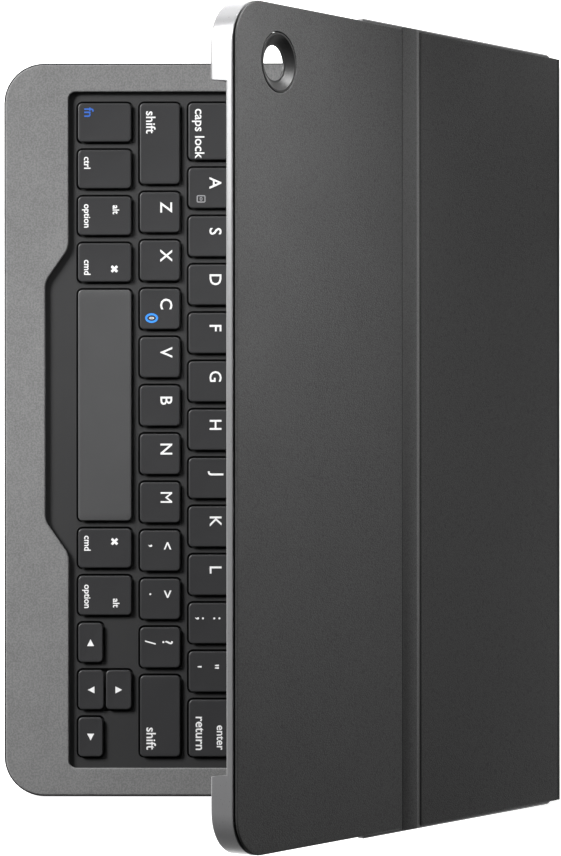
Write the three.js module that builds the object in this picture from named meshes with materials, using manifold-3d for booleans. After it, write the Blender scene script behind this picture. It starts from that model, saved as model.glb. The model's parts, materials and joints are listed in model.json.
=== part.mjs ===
// A folio keyboard case for a 9.7-inch tablet: a keyboard base, a stiffened spine, and a creased leather
// cover that carries a tray with corner clips. Millimetres, +Z up. X runs along the keyboard from left to
// right and Y from the typist's edge to the spine. The origin is the centre of the base's underside.
import * as THREE from "three";
import { mergeVertices } from "three/addons/utils/BufferGeometryUtils.js";
import Module from "manifold-3d";

const wasm = await Module();
wasm.setup();

// ---------------------------------------------------------------- driving dimensions

const caseLength = 250;
const caseDepth = 187.5;
const baseCornerRadius = 13.7;
const coverCornerRadius = 12.5;
const coverOpenAngle = THREE.MathUtils.degToRad(55.83); // from closed, as the case is shown
const film = 0.08; // the bond between layers that are glued
const past = 1; // how far a cutter runs past the face that it cuts
const weld = 0.1; // how far joined shapes run into each other

// Base: layers, from the desk up
const skinThick = 0.9;
const skinRimWall = 0.4;
const rimBelowDeck = 0.4; // from the deck down to the top of the skin's rim
const shellInset = 0.45; // from the outside of the skin's rim to the shell
const shellFloor = 0.8;
const shellWall = 1.5;
const liningThick = 1;
const frameThick = 0.8;
const bezelThick = 1;
const bezelLap = 1.5; // how far the bezel runs under the deck frame
const supportThick = 0.5;
const domeThick = 0.6;
const innerGap = 0.1;

// Keyboard well and its thumb notch
const sideBorder = 9.7;
const frontBorder = 22;
const notchDepth = 8;
const notchSlope = 11.5;
const wellRadius = 2.5;
const notchRadius = 7;
const keyToSideWall = 3.8;
const keyToEndWall = 3.2;

// Keys
const keyHeight = 1.7;
const deckOverKeys = 0.5;
const keyTravel = 1.2;
const keyGap = 2.7;
const rowGap = 2.9;
const keyCorner = 1;
const keyBevel = 0.35;
const keyClearance = 0.6; // to the bezel, all round
const webThick = 0.3;
const fieldUnits = 13.68; // the field's width in letter keys

// Groove that the tray's edge stands in, and the parts in the bay behind it
const grooveFromWell = 4.2;
const grooveWidth = 4.8;
const grooveDepth = 0.6;
const bayClearance = 1;
const magnetLength = 200;
const batteryLength = 110;
const batteryLeft = -75;
const batteryCorner = 3;
const boardThick = 1;
const boardLeft = 45;
const boardToPort = 0.3;
const portWidth = 7.6;
const portHeight = 2.5;
const portLength = 7;
const portWall = 0.4;
const portBackWall = 1.75;
const portRecess = 0.3; // from the side of the case to the port's mouth
const portFromRear = 28;
const switchFromRear = 47;
const switchWidth = 5;
const switchHeight = 1.7;
const switchTravel = 3;
const switchProud = 0.6;
const switchFlange = 1.5;
const switchRaise = 0.5; // from the shell's floor to the tab
const switchClearance = 0.2; // from the tab to its opening
const switchToWall = 0.25; // from the flange to the shell's wall

// Spine
const hingeRadius = 0.6;
const hingeGap = 0.3;
const lowerHingeHeight = 0.7;
const upperHingeHeight = 16;
const spineLean = 0.5; // how far the upper hinge sits in front of the lower one
const spineSkinThick = 0.7;
const spineBoardThick = 0.4;
const spineBoardInset = 1;
const noseShare = 0.9; // of the hinge radius, how far the skin runs past each hinge
const shoulderShare = 0.8; // the same, where the nose starts to turn in

// Cover: distances from the upper hinge, and heights from the hinge's plane when closed
const coverReach = caseDepth + 0.5;
const lowerPanelEnd = 87.75;
const creaseGap = 0.3;
const creaseWidth = 1.9;
const creaseThick = 0.3;
const stripEnd = 98.35;
const stripOverhang = 0.4;
const coverTop = 0.5;
const coverSkinThick = 0.6;
const coverBoardThick = 0.24;
const coverBoardInset = 2;

// Tray
const trayStart = 2;
const trayOverEdge = 0.4;
const trayFloorTop = -0.5;
const shadowGap = 0.35;
const shadowInset = 1.2;
const trayFloorThick = 1.15;
const rimBottom = -3.1;
const rimWall = 1.6;
const flangeOut = 1;
const flangeEnd = 119.5;
const trayRearRadius = 4;
const pocketSideBorder = 4.7;
const pocketEndBorder = 8;
const pocketRadius = 9;
const tabletSpace = 6.1;
const lipThick = 0.6;
const lipReach = 2;
const clipLength = 24;
const liningSheet = 0.15;
const liningInset = 5;

// Camera window
const cameraFromSide = 17.2;
const cameraFromEdge = 21.7;
const cameraOuterRadius = 8.8;
const cameraInnerRadius = 5.2;
const cameraLip = 0.6;
const cameraClearance = 0.3;

// ---------------------------------------------------------------- derived places

const side = caseLength / 2;
const front = -caseDepth / 2;
const rear = caseDepth / 2;

const shellBottom = skinThick;
const innerFloor = shellBottom + shellFloor;
const bayFloor = innerFloor + innerGap;
const supportTop = bayFloor + supportThick;
const domeBottom = supportTop + innerGap;
const domeTop = domeBottom + domeThick;
const keyBottomHeight = domeTop + innerGap + keyTravel; // a pressed key stops just above the domes
const keyTopHeight = keyBottomHeight + keyHeight;
const deckHeight = keyTopHeight + deckOverKeys;
const skinRimHeight = deckHeight - rimBelowDeck;
const frameBottom = deckHeight - liningThick - frameThick;
const bayTop = frameBottom - innerGap;
const deckRear = rear - hingeRadius;

const wellSide = side - sideBorder;
const wellFront = front + frontBorder;
const fieldSide = wellSide - keyToSideWall;
const fieldFront = wellFront + keyToEndWall;
const unit = (2 * fieldSide + keyGap) / fieldUnits;

const lowerHinge = new THREE.Vector3(0, rear + hingeRadius + hingeGap, lowerHingeHeight);
const upperHinge = new THREE.Vector3(0, lowerHinge.y - spineLean, upperHingeHeight);
const spineLength = lowerHinge.distanceTo(upperHinge);
const spineAngle = Math.atan2(spineLean, upperHinge.z - lowerHinge.z);

// ---------------------------------------------------------------- materials

const look = (color, roughness, metalness = 0) => ({ color, roughness, metalness });
const looks = {
  leather: look(0x2b2b2d, 0.62),
  suede: look(0x8a8a8a, 0.95),
  shell: look(0x1f1f21, 0.55),
  bezel: look(0x3a3a3c, 0.6),
  key: look(0x2e2e30, 0.5),
  steel: look(0x9a9a9c, 0.35, 0.9),
  silicone: look(0x55565a, 0.8),
  board: look(0x1d4a33, 0.6),
  foil: look(0x6f7174, 0.4, 0.6),
  tray: look(0x8d8f92, 0.2, 0.4),
  stiffener: look(0x4a4a48, 0.85),
  lining: look(0x2c2c2e, 0.95),
};

// ---------------------------------------------------------------- shapes

// A closed outline from its corners, each [x, y, radius], with the round ones as arcs.
function outline(corners, steps = 5) {
  const points = [];
  corners.forEach(([x, y, radius = 0], i) => {
    const here = new THREE.Vector2(x, y);
    if (!radius) {
      points.push(here);
      return;
    }
    const before = corners.at(i - 1);
    const after = corners[(i + 1) % corners.length];
    const back = new THREE.Vector2(before[0] - x, before[1] - y).normalize();
    const ahead = new THREE.Vector2(after[0] - x, after[1] - y).normalize();
    const half = back.angleTo(ahead) / 2;
    const toCentre = back.clone().add(ahead).normalize();
    const centre = here.clone().addScaledVector(toCentre, radius / Math.sin(half));
    const start = here.clone().addScaledVector(back, radius / Math.tan(half));
    const turn = Math.sign(ahead.cross(back)) * (Math.PI - 2 * half);
    for (let k = 0; k <= steps; k++) points.push(start.clone().rotateAround(centre, (turn * k) / steps));
  });
  return points;
}

const rectangle = (x0, y0, x1, y1, radius = 0, steps = 5) =>
  outline(
    [
      [x0, y0, radius],
      [x1, y0, radius],
      [x1, y1, radius],
      [x0, y1, radius],
    ],
    steps,
  );

const circle = (x, y, radius, sides = 24) =>
  Array.from({ length: sides }, (_, i) => {
    const turn = (2 * Math.PI * i) / sides;
    return new THREE.Vector2(x + radius * Math.cos(turn), y + radius * Math.sin(turn));
  });

// A flat plate between two heights, with holes through it.
function plate(points, bottom, top, holes = []) {
  const shape = new THREE.Shape(points);
  shape.holes = holes.map((hole) => new THREE.Path(hole));
  const options = { depth: top - bottom, bevelEnabled: false };
  return new THREE.ExtrudeGeometry(shape, options).translate(0, 0, bottom);
}

const block = (x0, y0, z0, x1, y1, z1) => plate(rectangle(x0, y0, x1, y1), z0, z1);

// A section drawn in Y and Z, run along X between two ends.
function bar(section, from, to) {
  const shape = new THREE.Shape(section.map(([y, z]) => new THREE.Vector2(y, z)));
  const geometry = new THREE.ExtrudeGeometry(shape, { depth: to - from, bevelEnabled: false });
  const along = new THREE.Vector3(1, 0, 0);
  const turned = new THREE.Matrix4().makeBasis(new THREE.Vector3(0, 1, 0), new THREE.Vector3(0, 0, 1), along);
  return geometry.applyMatrix4(turned).translate(from, 0, 0);
}

function toSolid(geometry) {
  const bare = geometry.clone();
  bare.deleteAttribute("normal");
  bare.deleteAttribute("uv");
  const merged = mergeVertices(bare, 1e-4);
  const vertProperties = merged.attributes.position.array;
  const triVerts = new Uint32Array(merged.index.array);
  return new wasm.Manifold(new wasm.Mesh({ numProp: 3, vertProperties, triVerts }));
}

function toGeometry(solid) {
  const mesh = solid.getMesh();
  const geometry = new THREE.BufferGeometry();
  geometry.setAttribute("position", new THREE.BufferAttribute(mesh.vertProperties, 3));
  geometry.setIndex(new THREE.BufferAttribute(mesh.triVerts, 1));
  return geometry.toNonIndexed();
}

const join = (...pieces) => toGeometry(pieces.map(toSolid).reduce((sum, next) => sum.add(next)));
const cut = (from, ...tools) => toGeometry(tools.map(toSolid).reduce((sum, next) => sum.subtract(next), toSolid(from)));

function addTo(group, name, geometry, style) {
  geometry.computeVertexNormals();
  const mesh = new THREE.Mesh(geometry, new THREE.MeshStandardMaterial({ ...style, name }));
  mesh.name = name;
  group.add(mesh);
}

// ---------------------------------------------------------------- key layout

// Widths are in units of a letter key; the one key with no width takes what its row leaves.
// A column of two arrow keys is given as a pair.
const many = (names, width) => names.map((name) => ({ name, width }));
const shownRows = [
  {
    depth: 18.2,
    keys: [
      ...many(["fn", "ctrl", "alt_left", "cmd_left"], 0.965),
      { name: "space" },
      ...many(["cmd_right", "alt_right", "arrow_left"], 0.976),
      { name: "arrow_down", over: "arrow_up", width: 0.976 },
      { name: "arrow_right", width: 0.976 },
    ],
  },
  { depth: 13.7, keys: shifted("shift_left", [..."zxcvbnm", "comma", "period", "slash"], "shift_right") },
  { depth: 13.9, keys: shifted("caps_lock", [..."asdfghjkl", "semicolon", "quote"], "return") },
];
const joinedRows = [
  { name: "row_upper_letters", depth: 13.8, widths: [1.085, ...Array(11).fill(1), null] },
  { name: "row_digits", depth: 13.6, widths: [...Array(13).fill(0.952), null] },
  { name: "row_functions", depth: 8, widths: [...Array(13).fill(0.977), null] },
];
const halfKeyDepth = 8.4; // left and right arrows

// A row with one unit for each middle key and the rest shared by its two ends.
function shifted(first, middle, last) {
  const end = (fieldUnits - middle.length) / 2;
  return [{ name: first, width: end }, ...many(middle, 1), { name: last, width: end }];
}

// The left and right edges of each key in a row.
function spans(widths) {
  const known = widths.reduce((sum, width) => sum + (width ?? 0), 0);
  let at = -fieldSide;
  return widths.map((width) => {
    const pitch = (width ?? fieldUnits - known) * unit;
    const span = [at, at + pitch - keyGap];
    at += pitch;
    return span;
  });
}

function layOut() {
  const keys = [];
  let at = fieldFront;
  for (const row of shownRows) {
    const middle = at + row.depth / 2;
    spans(row.keys.map((key) => key.width)).forEach(([x0, x1], i) => {
      const key = row.keys[i];
      const split = key.over || key.name.startsWith("arrow");
      const top = key.over ? middle - keyBevel : split ? at + halfKeyDepth : at + row.depth;
      keys.push({ name: key.name, box: [x0, at, x1, top] });
      if (key.over) keys.push({ name: key.over, box: [x0, middle + keyBevel, x1, at + row.depth] });
    });
    at += row.depth + rowGap;
  }
  const rows = joinedRows.map(({ name, depth, widths }) => {
    const row = { name, y0: at, y1: at + depth, spans: spans(widths) };
    at += depth + rowGap;
    return row;
  });
  return { keys, rows, end: at - rowGap };
}

const layout = layOut();
const wellRear = layout.end + keyToEndWall;
const grooveFront = wellRear + grooveFromWell;
const grooveRear = grooveFront + grooveWidth;

// ---------------------------------------------------------------- base

// The base in plan: round at the typist's corners, square where it meets the spine.
const basePlan = (inset, back) =>
  outline([
    [-side + inset, front + inset, baseCornerRadius - inset],
    [side - inset, front + inset, baseCornerRadius - inset],
    [side - inset, back],
    [-side + inset, back],
  ]);

// The keyboard well in plan, grown by a lap. The notch in front of the space bar gives the thumbs room.
function wellPlan(lap = 0) {
  const space = layout.keys.find((key) => key.name === "space").box;
  const notchLeft = space[0] - keyGap;
  const notchRight = space[2];
  const near = wellFront - lap;
  const far = near - notchDepth;
  return outline(
    [
      [-wellSide - lap, near, wellRadius],
      [notchLeft - notchSlope, near, notchRadius],
      [notchLeft, far, notchRadius],
      [notchRight, far, notchRadius],
      [notchRight + notchSlope, near, notchRadius],
      [wellSide + lap, near, wellRadius],
      [wellSide + lap, wellRear + lap, wellRadius],
      [-wellSide - lap, wellRear + lap, wellRadius],
    ],
    3,
  );
}

// Openings in the right-hand wall for the charging port and the power switch.
const portY = rear - portFromRear;
const portZ = innerFloor + innerGap;
const switchY = rear - switchFromRear;
const switchZ = innerFloor + switchRaise;
const wallInner = side - shellInset - shellWall;
const wallOpening = (y0, y1, z0, z1, gap) =>
  block(wallInner - past, y0 - gap, z0 - gap, side + past, y1 + gap, z1 + gap);
const portOpening = () => wallOpening(portY, portY + portWidth, portZ, portZ + portHeight, innerGap);
const switchOpening = () => {
  const end = switchY + switchWidth + switchTravel;
  return wallOpening(switchY, end, switchZ, switchZ + switchHeight, switchClearance);
};

function baseSkin() {
  const sheet = plate(basePlan(0, rear), 0, skinThick);
  const hollow = basePlan(skinRimWall, rear + past);
  const rim = cut(plate(basePlan(0, rear), 0, skinRimHeight), plate(hollow, -past, skinRimHeight + past));
  return cut(join(sheet, rim), portOpening(), switchOpening());
}

function baseShell() {
  const plan = basePlan(shellInset, deckRear);
  const floor = plate(plan, shellBottom, innerFloor);
  const inside = basePlan(shellInset + shellWall, deckRear - shellWall);
  const wall = plate(plan, shellBottom, frameBottom, [inside]);
  return cut(join(floor, wall), portOpening(), switchOpening());
}

const deckFrame = () =>
  plate(basePlan(shellInset, deckRear), frameBottom, frameBottom + frameThick, [wellPlan()]);

function deckLining() {
  const sheet = plate(basePlan(shellInset, deckRear), deckHeight - liningThick, deckHeight, [wellPlan()]);
  const groove = block(-side, grooveFront, deckHeight - grooveDepth, side, grooveRear, deckHeight + past);
  return cut(sheet, groove);
}

const bezelTop = frameBottom - innerGap;
function keyBezel() {
  const grown = ([x0, y0, x1, y1]) =>
    rectangle(x0 - keyClearance, y0 - keyClearance, x1 + keyClearance, y1 + keyClearance);
  const arrow = (name) => layout.keys.find((key) => key.name === name).box;
  const shared = [...arrow("arrow_down").slice(0, 3), arrow("arrow_up")[3]];
  const single = layout.keys.filter((key) => key.name !== "arrow_down" && key.name !== "arrow_up");
  const holes = [
    ...single.map((key) => grown(key.box)),
    grown(shared),
    ...layout.rows.map((row) => grown([-fieldSide, row.y0, fieldSide, row.y1])),
  ];
  const sheet = plate(wellPlan(bezelLap), bezelTop - bezelThick, bezelTop);
  return cut(sheet, ...holes.map((hole) => plate(hole, bezelTop - bezelThick - past, bezelTop + past)));
}

const underKeys = (bottom, top) => block(-fieldSide, fieldFront, bottom, fieldSide, layout.end, top);

const bayFront = grooveRear + bayClearance;
const bayRear = deckRear - shellWall - bayClearance;
const portInner = side - portLength - portRecess;

function chargePort() {
  const end = portInner + portLength;
  const body = block(portInner, portY, portZ, end, portY + portWidth, portZ + portHeight);
  const low = [portInner + portBackWall, portY + portWall, portZ + portWall];
  const high = [end + past, portY + portWidth - portWall, portZ + portHeight - portWall];
  return cut(body, block(...low, ...high));
}

function powerSwitch() {
  const inner = wallInner - switchToWall;
  const tab = block(inner, switchY, switchZ, side + switchProud, switchY + switchWidth, switchZ + switchHeight);
  const flange = block(
    inner - switchFlange,
    switchY - switchFlange,
    innerFloor + innerGap,
    inner + weld,
    switchY + switchWidth + switchFlange,
    bayTop,
  );
  return join(tab, flange);
}

function makeBase() {
  const base = new THREE.Group();
  const circuitRight = portInner - boardToPort;
  addTo(base, "base_skin", baseSkin(), looks.leather);
  addTo(base, "base_shell", baseShell(), looks.shell);
  addTo(base, "deck_frame", deckFrame(), looks.shell);
  addTo(base, "deck_lining", deckLining(), looks.suede);
  addTo(base, "key_bezel", keyBezel(), looks.bezel);
  addTo(base, "support_plate", underKeys(bayFloor, supportTop), looks.steel);
  addTo(base, "dome_sheet", underKeys(domeBottom, domeTop), looks.silicone);
  const magnet = block(-magnetLength / 2, grooveFront, bayFloor, magnetLength / 2, grooveRear, bayTop);
  addTo(base, "dock_magnet_bar", magnet, looks.steel);
  const cell = rectangle(batteryLeft, bayFront, batteryLeft + batteryLength, bayRear, batteryCorner, 3);
  addTo(base, "battery", plate(cell, bayFloor, bayTop), looks.foil);
  const circuit = block(boardLeft, bayFront, bayFloor, circuitRight, bayRear, bayFloor + boardThick);
  addTo(base, "circuit_board", circuit, looks.board);
  addTo(base, "charge_port", chargePort(), looks.steel);
  addTo(base, "power_switch", powerSwitch(), looks.shell);
  return base;
}

// ---------------------------------------------------------------- keys

// A key cap: cut corners and a bevelled edge.
function keyCap([x0, y0, x1, y1]) {
  const shape = new THREE.Shape(rectangle(x0, y0, x1, y1, keyCorner, 1));
  const bevel = { bevelThickness: keyBevel, bevelSize: keyBevel, bevelOffset: -keyBevel, bevelSegments: 1 };
  const geometry = new THREE.ExtrudeGeometry(shape, { depth: keyHeight - 2 * keyBevel, ...bevel });
  return geometry.translate(0, 0, keyBottomHeight + keyBevel);
}

// A row whose caps share one thin web, level with the bezel.
function joinedRow(row) {
  const web = block(-fieldSide, row.y0, keyBottomHeight, fieldSide, row.y1, keyBottomHeight + webThick);
  const caps = row.spans.map(([x0, x1]) => block(x0, row.y0, keyBottomHeight, x1, row.y1, keyTopHeight));
  return join(web, ...caps);
}

function makeKeys() {
  const keys = new THREE.Group();
  for (const { name, box } of layout.keys) addTo(keys, `key_${name}`, keyCap(box), looks.key);
  for (const row of layout.rows) addTo(keys, `key_${row.name}`, joinedRow(row), looks.key);
  return keys;
}

// ---------------------------------------------------------------- spine

// Drawn upright from the lower hinge, with +Y outwards, then leaned towards the typist.
function makeSpine() {
  const spine = new THREE.Group();
  spine.position.copy(lowerHinge);
  spine.rotation.x = spineAngle;
  const out = hingeRadius;
  const inn = out - spineSkinThick;
  const nose = noseShare * out;
  const shoulder = shoulderShare * out;
  const skin = [
    [inn, -nose],
    [out / 2, -shoulder],
    [out, 0],
    [out, spineLength],
    [out / 2, spineLength + shoulder],
    [inn, spineLength + nose],
  ];
  addTo(spine, "spine_skin", bar(skin, -side, side), looks.leather);
  const boardOut = inn - film;
  const ends = 2 * hingeRadius + hingeGap;
  const board = [
    [boardOut - spineBoardThick, ends],
    [boardOut, ends],
    [boardOut, spineLength - ends],
    [boardOut - spineBoardThick, spineLength - ends],
  ];
  addTo(spine, "spine_board", bar(board, -side + spineBoardInset, side - spineBoardInset), looks.stiffener);
  return spine;
}

// ---------------------------------------------------------------- cover

// Drawn closed: the upper hinge is at Y = 0 and Z = 0 and the free edge is at -coverReach.
const skinBottom = coverTop - coverSkinThick;
const upperPanelStart = stripEnd + creaseGap;
const trayEnd = coverReach + trayOverEdge;
const cameraX = -side + cameraFromSide;
const cameraY = -coverReach + cameraFromEdge;

function lowerPanel(group) {
  const start = -(hingeRadius + hingeGap);
  addTo(group, "lower_cover_skin", block(-side, -lowerPanelEnd, skinBottom, side, start, coverTop), looks.leather);
  const inset = coverBoardInset;
  const top = skinBottom - film;
  const board = [-side + inset, -lowerPanelEnd + inset, top - coverBoardThick, side - inset, start - inset, top];
  addTo(group, "lower_cover_board", block(...board), looks.stiffener);
}

// The strip is thinned where it bends at the lower crease.
function foldStrip(group) {
  const start = -(lowerPanelEnd + creaseGap);
  const section = [
    [start, skinBottom],
    [start, skinBottom + creaseThick],
    [start - creaseWidth, skinBottom + creaseThick],
    [start - creaseWidth, coverTop],
    [-stripEnd, coverTop],
    [-stripEnd, skinBottom],
  ];
  const reach = side + stripOverhang;
  addTo(group, "fold_strip_skin", bar(section.reverse(), -reach, reach), looks.leather);
}

function upperSkin() {
  const plan = outline([
    [-side, -coverReach, coverCornerRadius],
    [side, -coverReach, coverCornerRadius],
    [side, -upperPanelStart],
    [-side, -upperPanelStart],
  ]);
  const window = circle(cameraX, cameraY, cameraOuterRadius + cameraClearance);
  return plate(plan, skinBottom, coverTop, [window]);
}

// The tray in plan. Its sides stand out by a flange as far as flangeEnd.
function trayPlan(inset) {
  const corner = coverCornerRadius + trayOverEdge - inset;
  const heel = trayRearRadius - inset;
  const narrow = side - inset;
  const wide = narrow + flangeOut;
  const step = -flangeEnd + inset;
  return outline([
    [-narrow, -trayEnd + inset, corner],
    [narrow, -trayEnd + inset, corner],
    [narrow, step],
    [wide, step],
    [wide, -trayStart - inset, heel],
    [-wide, -trayStart - inset, heel],
    [-wide, step],
    [-narrow, step],
  ]);
}

const shadowTop = trayFloorTop - shadowGap;
const trayFloorBottom = trayFloorTop - trayFloorThick;
const sheetTop = trayFloorBottom - film;
const sheetBottom = sheetTop - liningSheet;
const lipTop = sheetBottom - tabletSpace;
const clipBottom = lipTop - lipThick;

// The tablet's place in plan, grown or shrunk.
const pocketPlan = (inset, radius, steps = 4) =>
  rectangle(
    -side + pocketSideBorder + inset,
    -trayEnd + pocketEndBorder + inset,
    side - pocketSideBorder - inset,
    -trayStart - pocketEndBorder - inset,
    radius,
    steps,
  );

function trayShell() {
  const bond = outline([
    [-side + coverBoardInset, -coverReach + coverBoardInset, coverCornerRadius - coverBoardInset],
    [side - coverBoardInset, -coverReach + coverBoardInset, coverCornerRadius - coverBoardInset],
    [side - coverBoardInset, -upperPanelStart - creaseGap],
    [-side + coverBoardInset, -upperPanelStart - creaseGap],
  ]);
  const raised = plate(bond, trayFloorTop - weld, skinBottom - film);
  const floor = plate(trayPlan(shadowInset), shadowTop - weld, trayFloorTop);
  const flange = plate(trayPlan(0), trayFloorBottom, shadowTop);
  const rim = plate(trayPlan(0), rimBottom, trayFloorBottom + weld, [trayPlan(rimWall)]);
  const beyond = side + flangeOut + past;
  const below = clipBottom - past;
  const clips = cut(
    plate(trayPlan(0), clipBottom, trayFloorBottom + weld),
    plate(pocketPlan(0, pocketRadius), lipTop, trayFloorBottom + past),
    plate(pocketPlan(lipReach, pocketRadius), below, lipTop + past),
    block(-side + clipLength, -trayEnd - past, below, side - clipLength, 0, rimBottom),
    block(-beyond, -trayEnd + clipLength, below, beyond, -trayStart - clipLength, rimBottom),
  );
  const window = plate(circle(cameraX, cameraY, cameraOuterRadius + cameraClearance), clipBottom, coverTop);
  return cut(join(flange, floor, raised, rim, clips), window);
}

// A funnel that narrows from the leather to the lens.
function cameraRing() {
  const profile = [
    [cameraInnerRadius, sheetBottom],
    [cameraOuterRadius, sheetBottom],
    [cameraOuterRadius, coverTop],
    [cameraOuterRadius - cameraLip, coverTop],
    [cameraInnerRadius, sheetBottom + cameraLip],
    [cameraInnerRadius, sheetBottom],
  ].map(([r, z]) => new THREE.Vector2(r, z));
  return new THREE.LatheGeometry(profile, 24).rotateX(Math.PI / 2).translate(cameraX, cameraY, 0);
}

function trayLining() {
  const sheet = plate(pocketPlan(liningInset, pocketRadius), sheetBottom, sheetTop);
  const window = circle(cameraX, cameraY, cameraOuterRadius + cameraClearance);
  return cut(sheet, plate(window, sheetBottom - past, sheetTop + past));
}

function makeCover() {
  const cover = new THREE.Group();
  cover.position.copy(upperHinge);
  cover.rotation.x = -coverOpenAngle;
  lowerPanel(cover);
  foldStrip(cover);
  addTo(cover, "upper_cover_skin", upperSkin(), looks.leather);
  addTo(cover, "tray_shell", trayShell(), looks.tray);
  addTo(cover, "camera_ring", cameraRing(), looks.shell);
  addTo(cover, "tray_lining", trayLining(), looks.lining);
  return cover;
}

// ---------------------------------------------------------------- the case

const keyboardCase = new THREE.Group();
keyboardCase.add(makeBase(), makeKeys(), makeSpine(), makeCover());

export default keyboardCase;
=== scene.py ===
# %% [markdown]
# # A folio keyboard case for a tablet
#
# The case is a book. Its back half is a thin keyboard in a leather-wrapped tray with a suede deck, its
# spine is a stiffened strip, and its front half is a leather cover with a fold line and a glossy tray that
# grips a tablet by the corners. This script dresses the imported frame: each visible part gets a finished
# mesh and a procedural material, and rides on the body that carries it.

# %% Load the frame
import json
import math

import bmesh
import bpy
import numpy as np
from mathutils import Matrix, Vector


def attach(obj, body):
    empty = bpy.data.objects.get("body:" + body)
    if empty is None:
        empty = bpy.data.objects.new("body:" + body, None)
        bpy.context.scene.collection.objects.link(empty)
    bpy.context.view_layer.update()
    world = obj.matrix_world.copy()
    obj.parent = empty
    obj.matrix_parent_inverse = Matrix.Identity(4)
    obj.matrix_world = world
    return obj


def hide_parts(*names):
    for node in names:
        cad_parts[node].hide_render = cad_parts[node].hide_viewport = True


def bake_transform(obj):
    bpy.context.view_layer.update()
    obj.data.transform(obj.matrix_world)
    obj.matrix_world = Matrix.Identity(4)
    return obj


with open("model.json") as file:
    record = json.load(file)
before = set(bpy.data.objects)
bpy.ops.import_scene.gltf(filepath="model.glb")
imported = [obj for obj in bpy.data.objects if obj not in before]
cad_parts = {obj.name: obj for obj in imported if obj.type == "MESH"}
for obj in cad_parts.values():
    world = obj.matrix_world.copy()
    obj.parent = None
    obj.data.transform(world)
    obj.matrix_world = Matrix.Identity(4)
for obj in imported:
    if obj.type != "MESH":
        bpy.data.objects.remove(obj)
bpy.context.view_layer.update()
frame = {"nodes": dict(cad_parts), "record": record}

# %% [markdown]
# ## Working units
#
# The frame is in metres. A case with 0.6 mm leather reads better in millimetres, so every shape here is
# drawn in millimetres and shrunk once, when its mesh is made. The cover is drawn closed, lying flat with
# its hinge on the origin, because that is how a pattern cutter would draw it; one matrix then swings it
# open to where the frame has it.

# %% Units, and the cover's own space
MM = 0.001
record_joints = {j["name"]: j for j in frame["record"]["behaviour"]["joints"]}
upper_hinge = Vector(record_joints["cover_hinge"]["pos_m"]) / MM
lower_hinge = Vector(record_joints["spine_hinge"]["pos_m"]) / MM
open_angle = math.radians(-record_joints["cover_hinge"]["range_deg"][0])
HERE = Matrix.Identity(4)
COVER = Matrix.Translation(upper_hinge) @ Matrix.Rotation(-open_angle, 4, "X")
spine_run = upper_hinge - lower_hinge
SPINE = Matrix.Translation(lower_hinge) @ Matrix.Rotation(math.atan2(-spine_run.y, spine_run.z), 4, "X")


def span(node, space=HERE):
    """A frame node's lowest and highest corners, in millimetres, in the given space."""
    back = space.inverted()
    points = np.array([back @ (v.co / MM) for v in frame["nodes"][node].data.vertices])
    return Vector(points.min(0)), Vector(points.max(0))


print("cover open by", round(math.degrees(open_angle), 1), "degrees")

# %% [markdown]
# ## Shader maths that reads as arithmetic
#
# A material is a graph of small steps. Wiring each Math node by hand hides the formula, so a `Wire` wraps
# one output and turns +, -, * and / into Math nodes. `Graph.node` makes any other node: its settings come
# first, then the values or wires for its sockets. The same two classes build Geometry Nodes trees.


# %% Wires and graphs
class Wire:
    """One node output."""

    def __init__(self, graph, node, output=0):
        self.graph, self.owner, self.socket = graph, node, node.outputs[output]

    def out(self, name):
        return Wire(self.graph, self.owner, name)

    def math(self, operation, *values):
        return self.graph.node("ShaderNodeMath", {"operation": operation}, *values)

    def __add__(self, other):
        return self.math("ADD", self, other)

    def __sub__(self, other):
        return self.math("SUBTRACT", self, other)

    def __rsub__(self, other):
        return self.math("SUBTRACT", other, self)

    def __mul__(self, other):
        return self.math("MULTIPLY", self, other)

    def __truediv__(self, other):
        return self.math("DIVIDE", self, other)

    def __rtruediv__(self, other):
        return self.math("DIVIDE", other, self)

    __radd__, __rmul__ = __add__, __mul__

    def smooth(self, low, high):
        """0 below low, 1 above high, and a soft step between."""
        settings = {"interpolation_type": "SMOOTHSTEP"}
        return self.graph.node("ShaderNodeMapRange", settings, self, low, high, 0.0, 1.0)


class Graph:
    """A node tree under construction."""

    def __init__(self, tree):
        self.tree = tree

    def put(self, socket, value):
        if isinstance(value, Wire):
            self.tree.links.new(value.socket, socket)
        else:
            socket.default_value = value

    def node(self, kind, settings=None, *values, **named):
        node = self.tree.nodes.new(kind)
        for key, value in (settings or {}).items():
            if key == "stops":
                ramp = node.color_ramp.elements
                for element, (place, shade) in zip(ramp, value):
                    element.position, element.color = place, shade
            else:
                setattr(node, key, value)
        for socket, value in zip(node.inputs, values):
            self.put(socket, value)
        for key, value in named.items():
            self.put(node.inputs[key.replace("_", " ")], value)
        return Wire(self, node) if node.outputs else None


# %% [markdown]
# ## Finishes
#
# Every finish is a Principled surface. Its colour, roughness and bump vary with the piece's own Object
# coordinates, which are metres, so a pattern that repeats every 0.8 mm has a scale of 1 / 0.0008.


# %% A helper for finishes
def grey(level):
    return (level, level, level, 1.0)


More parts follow.
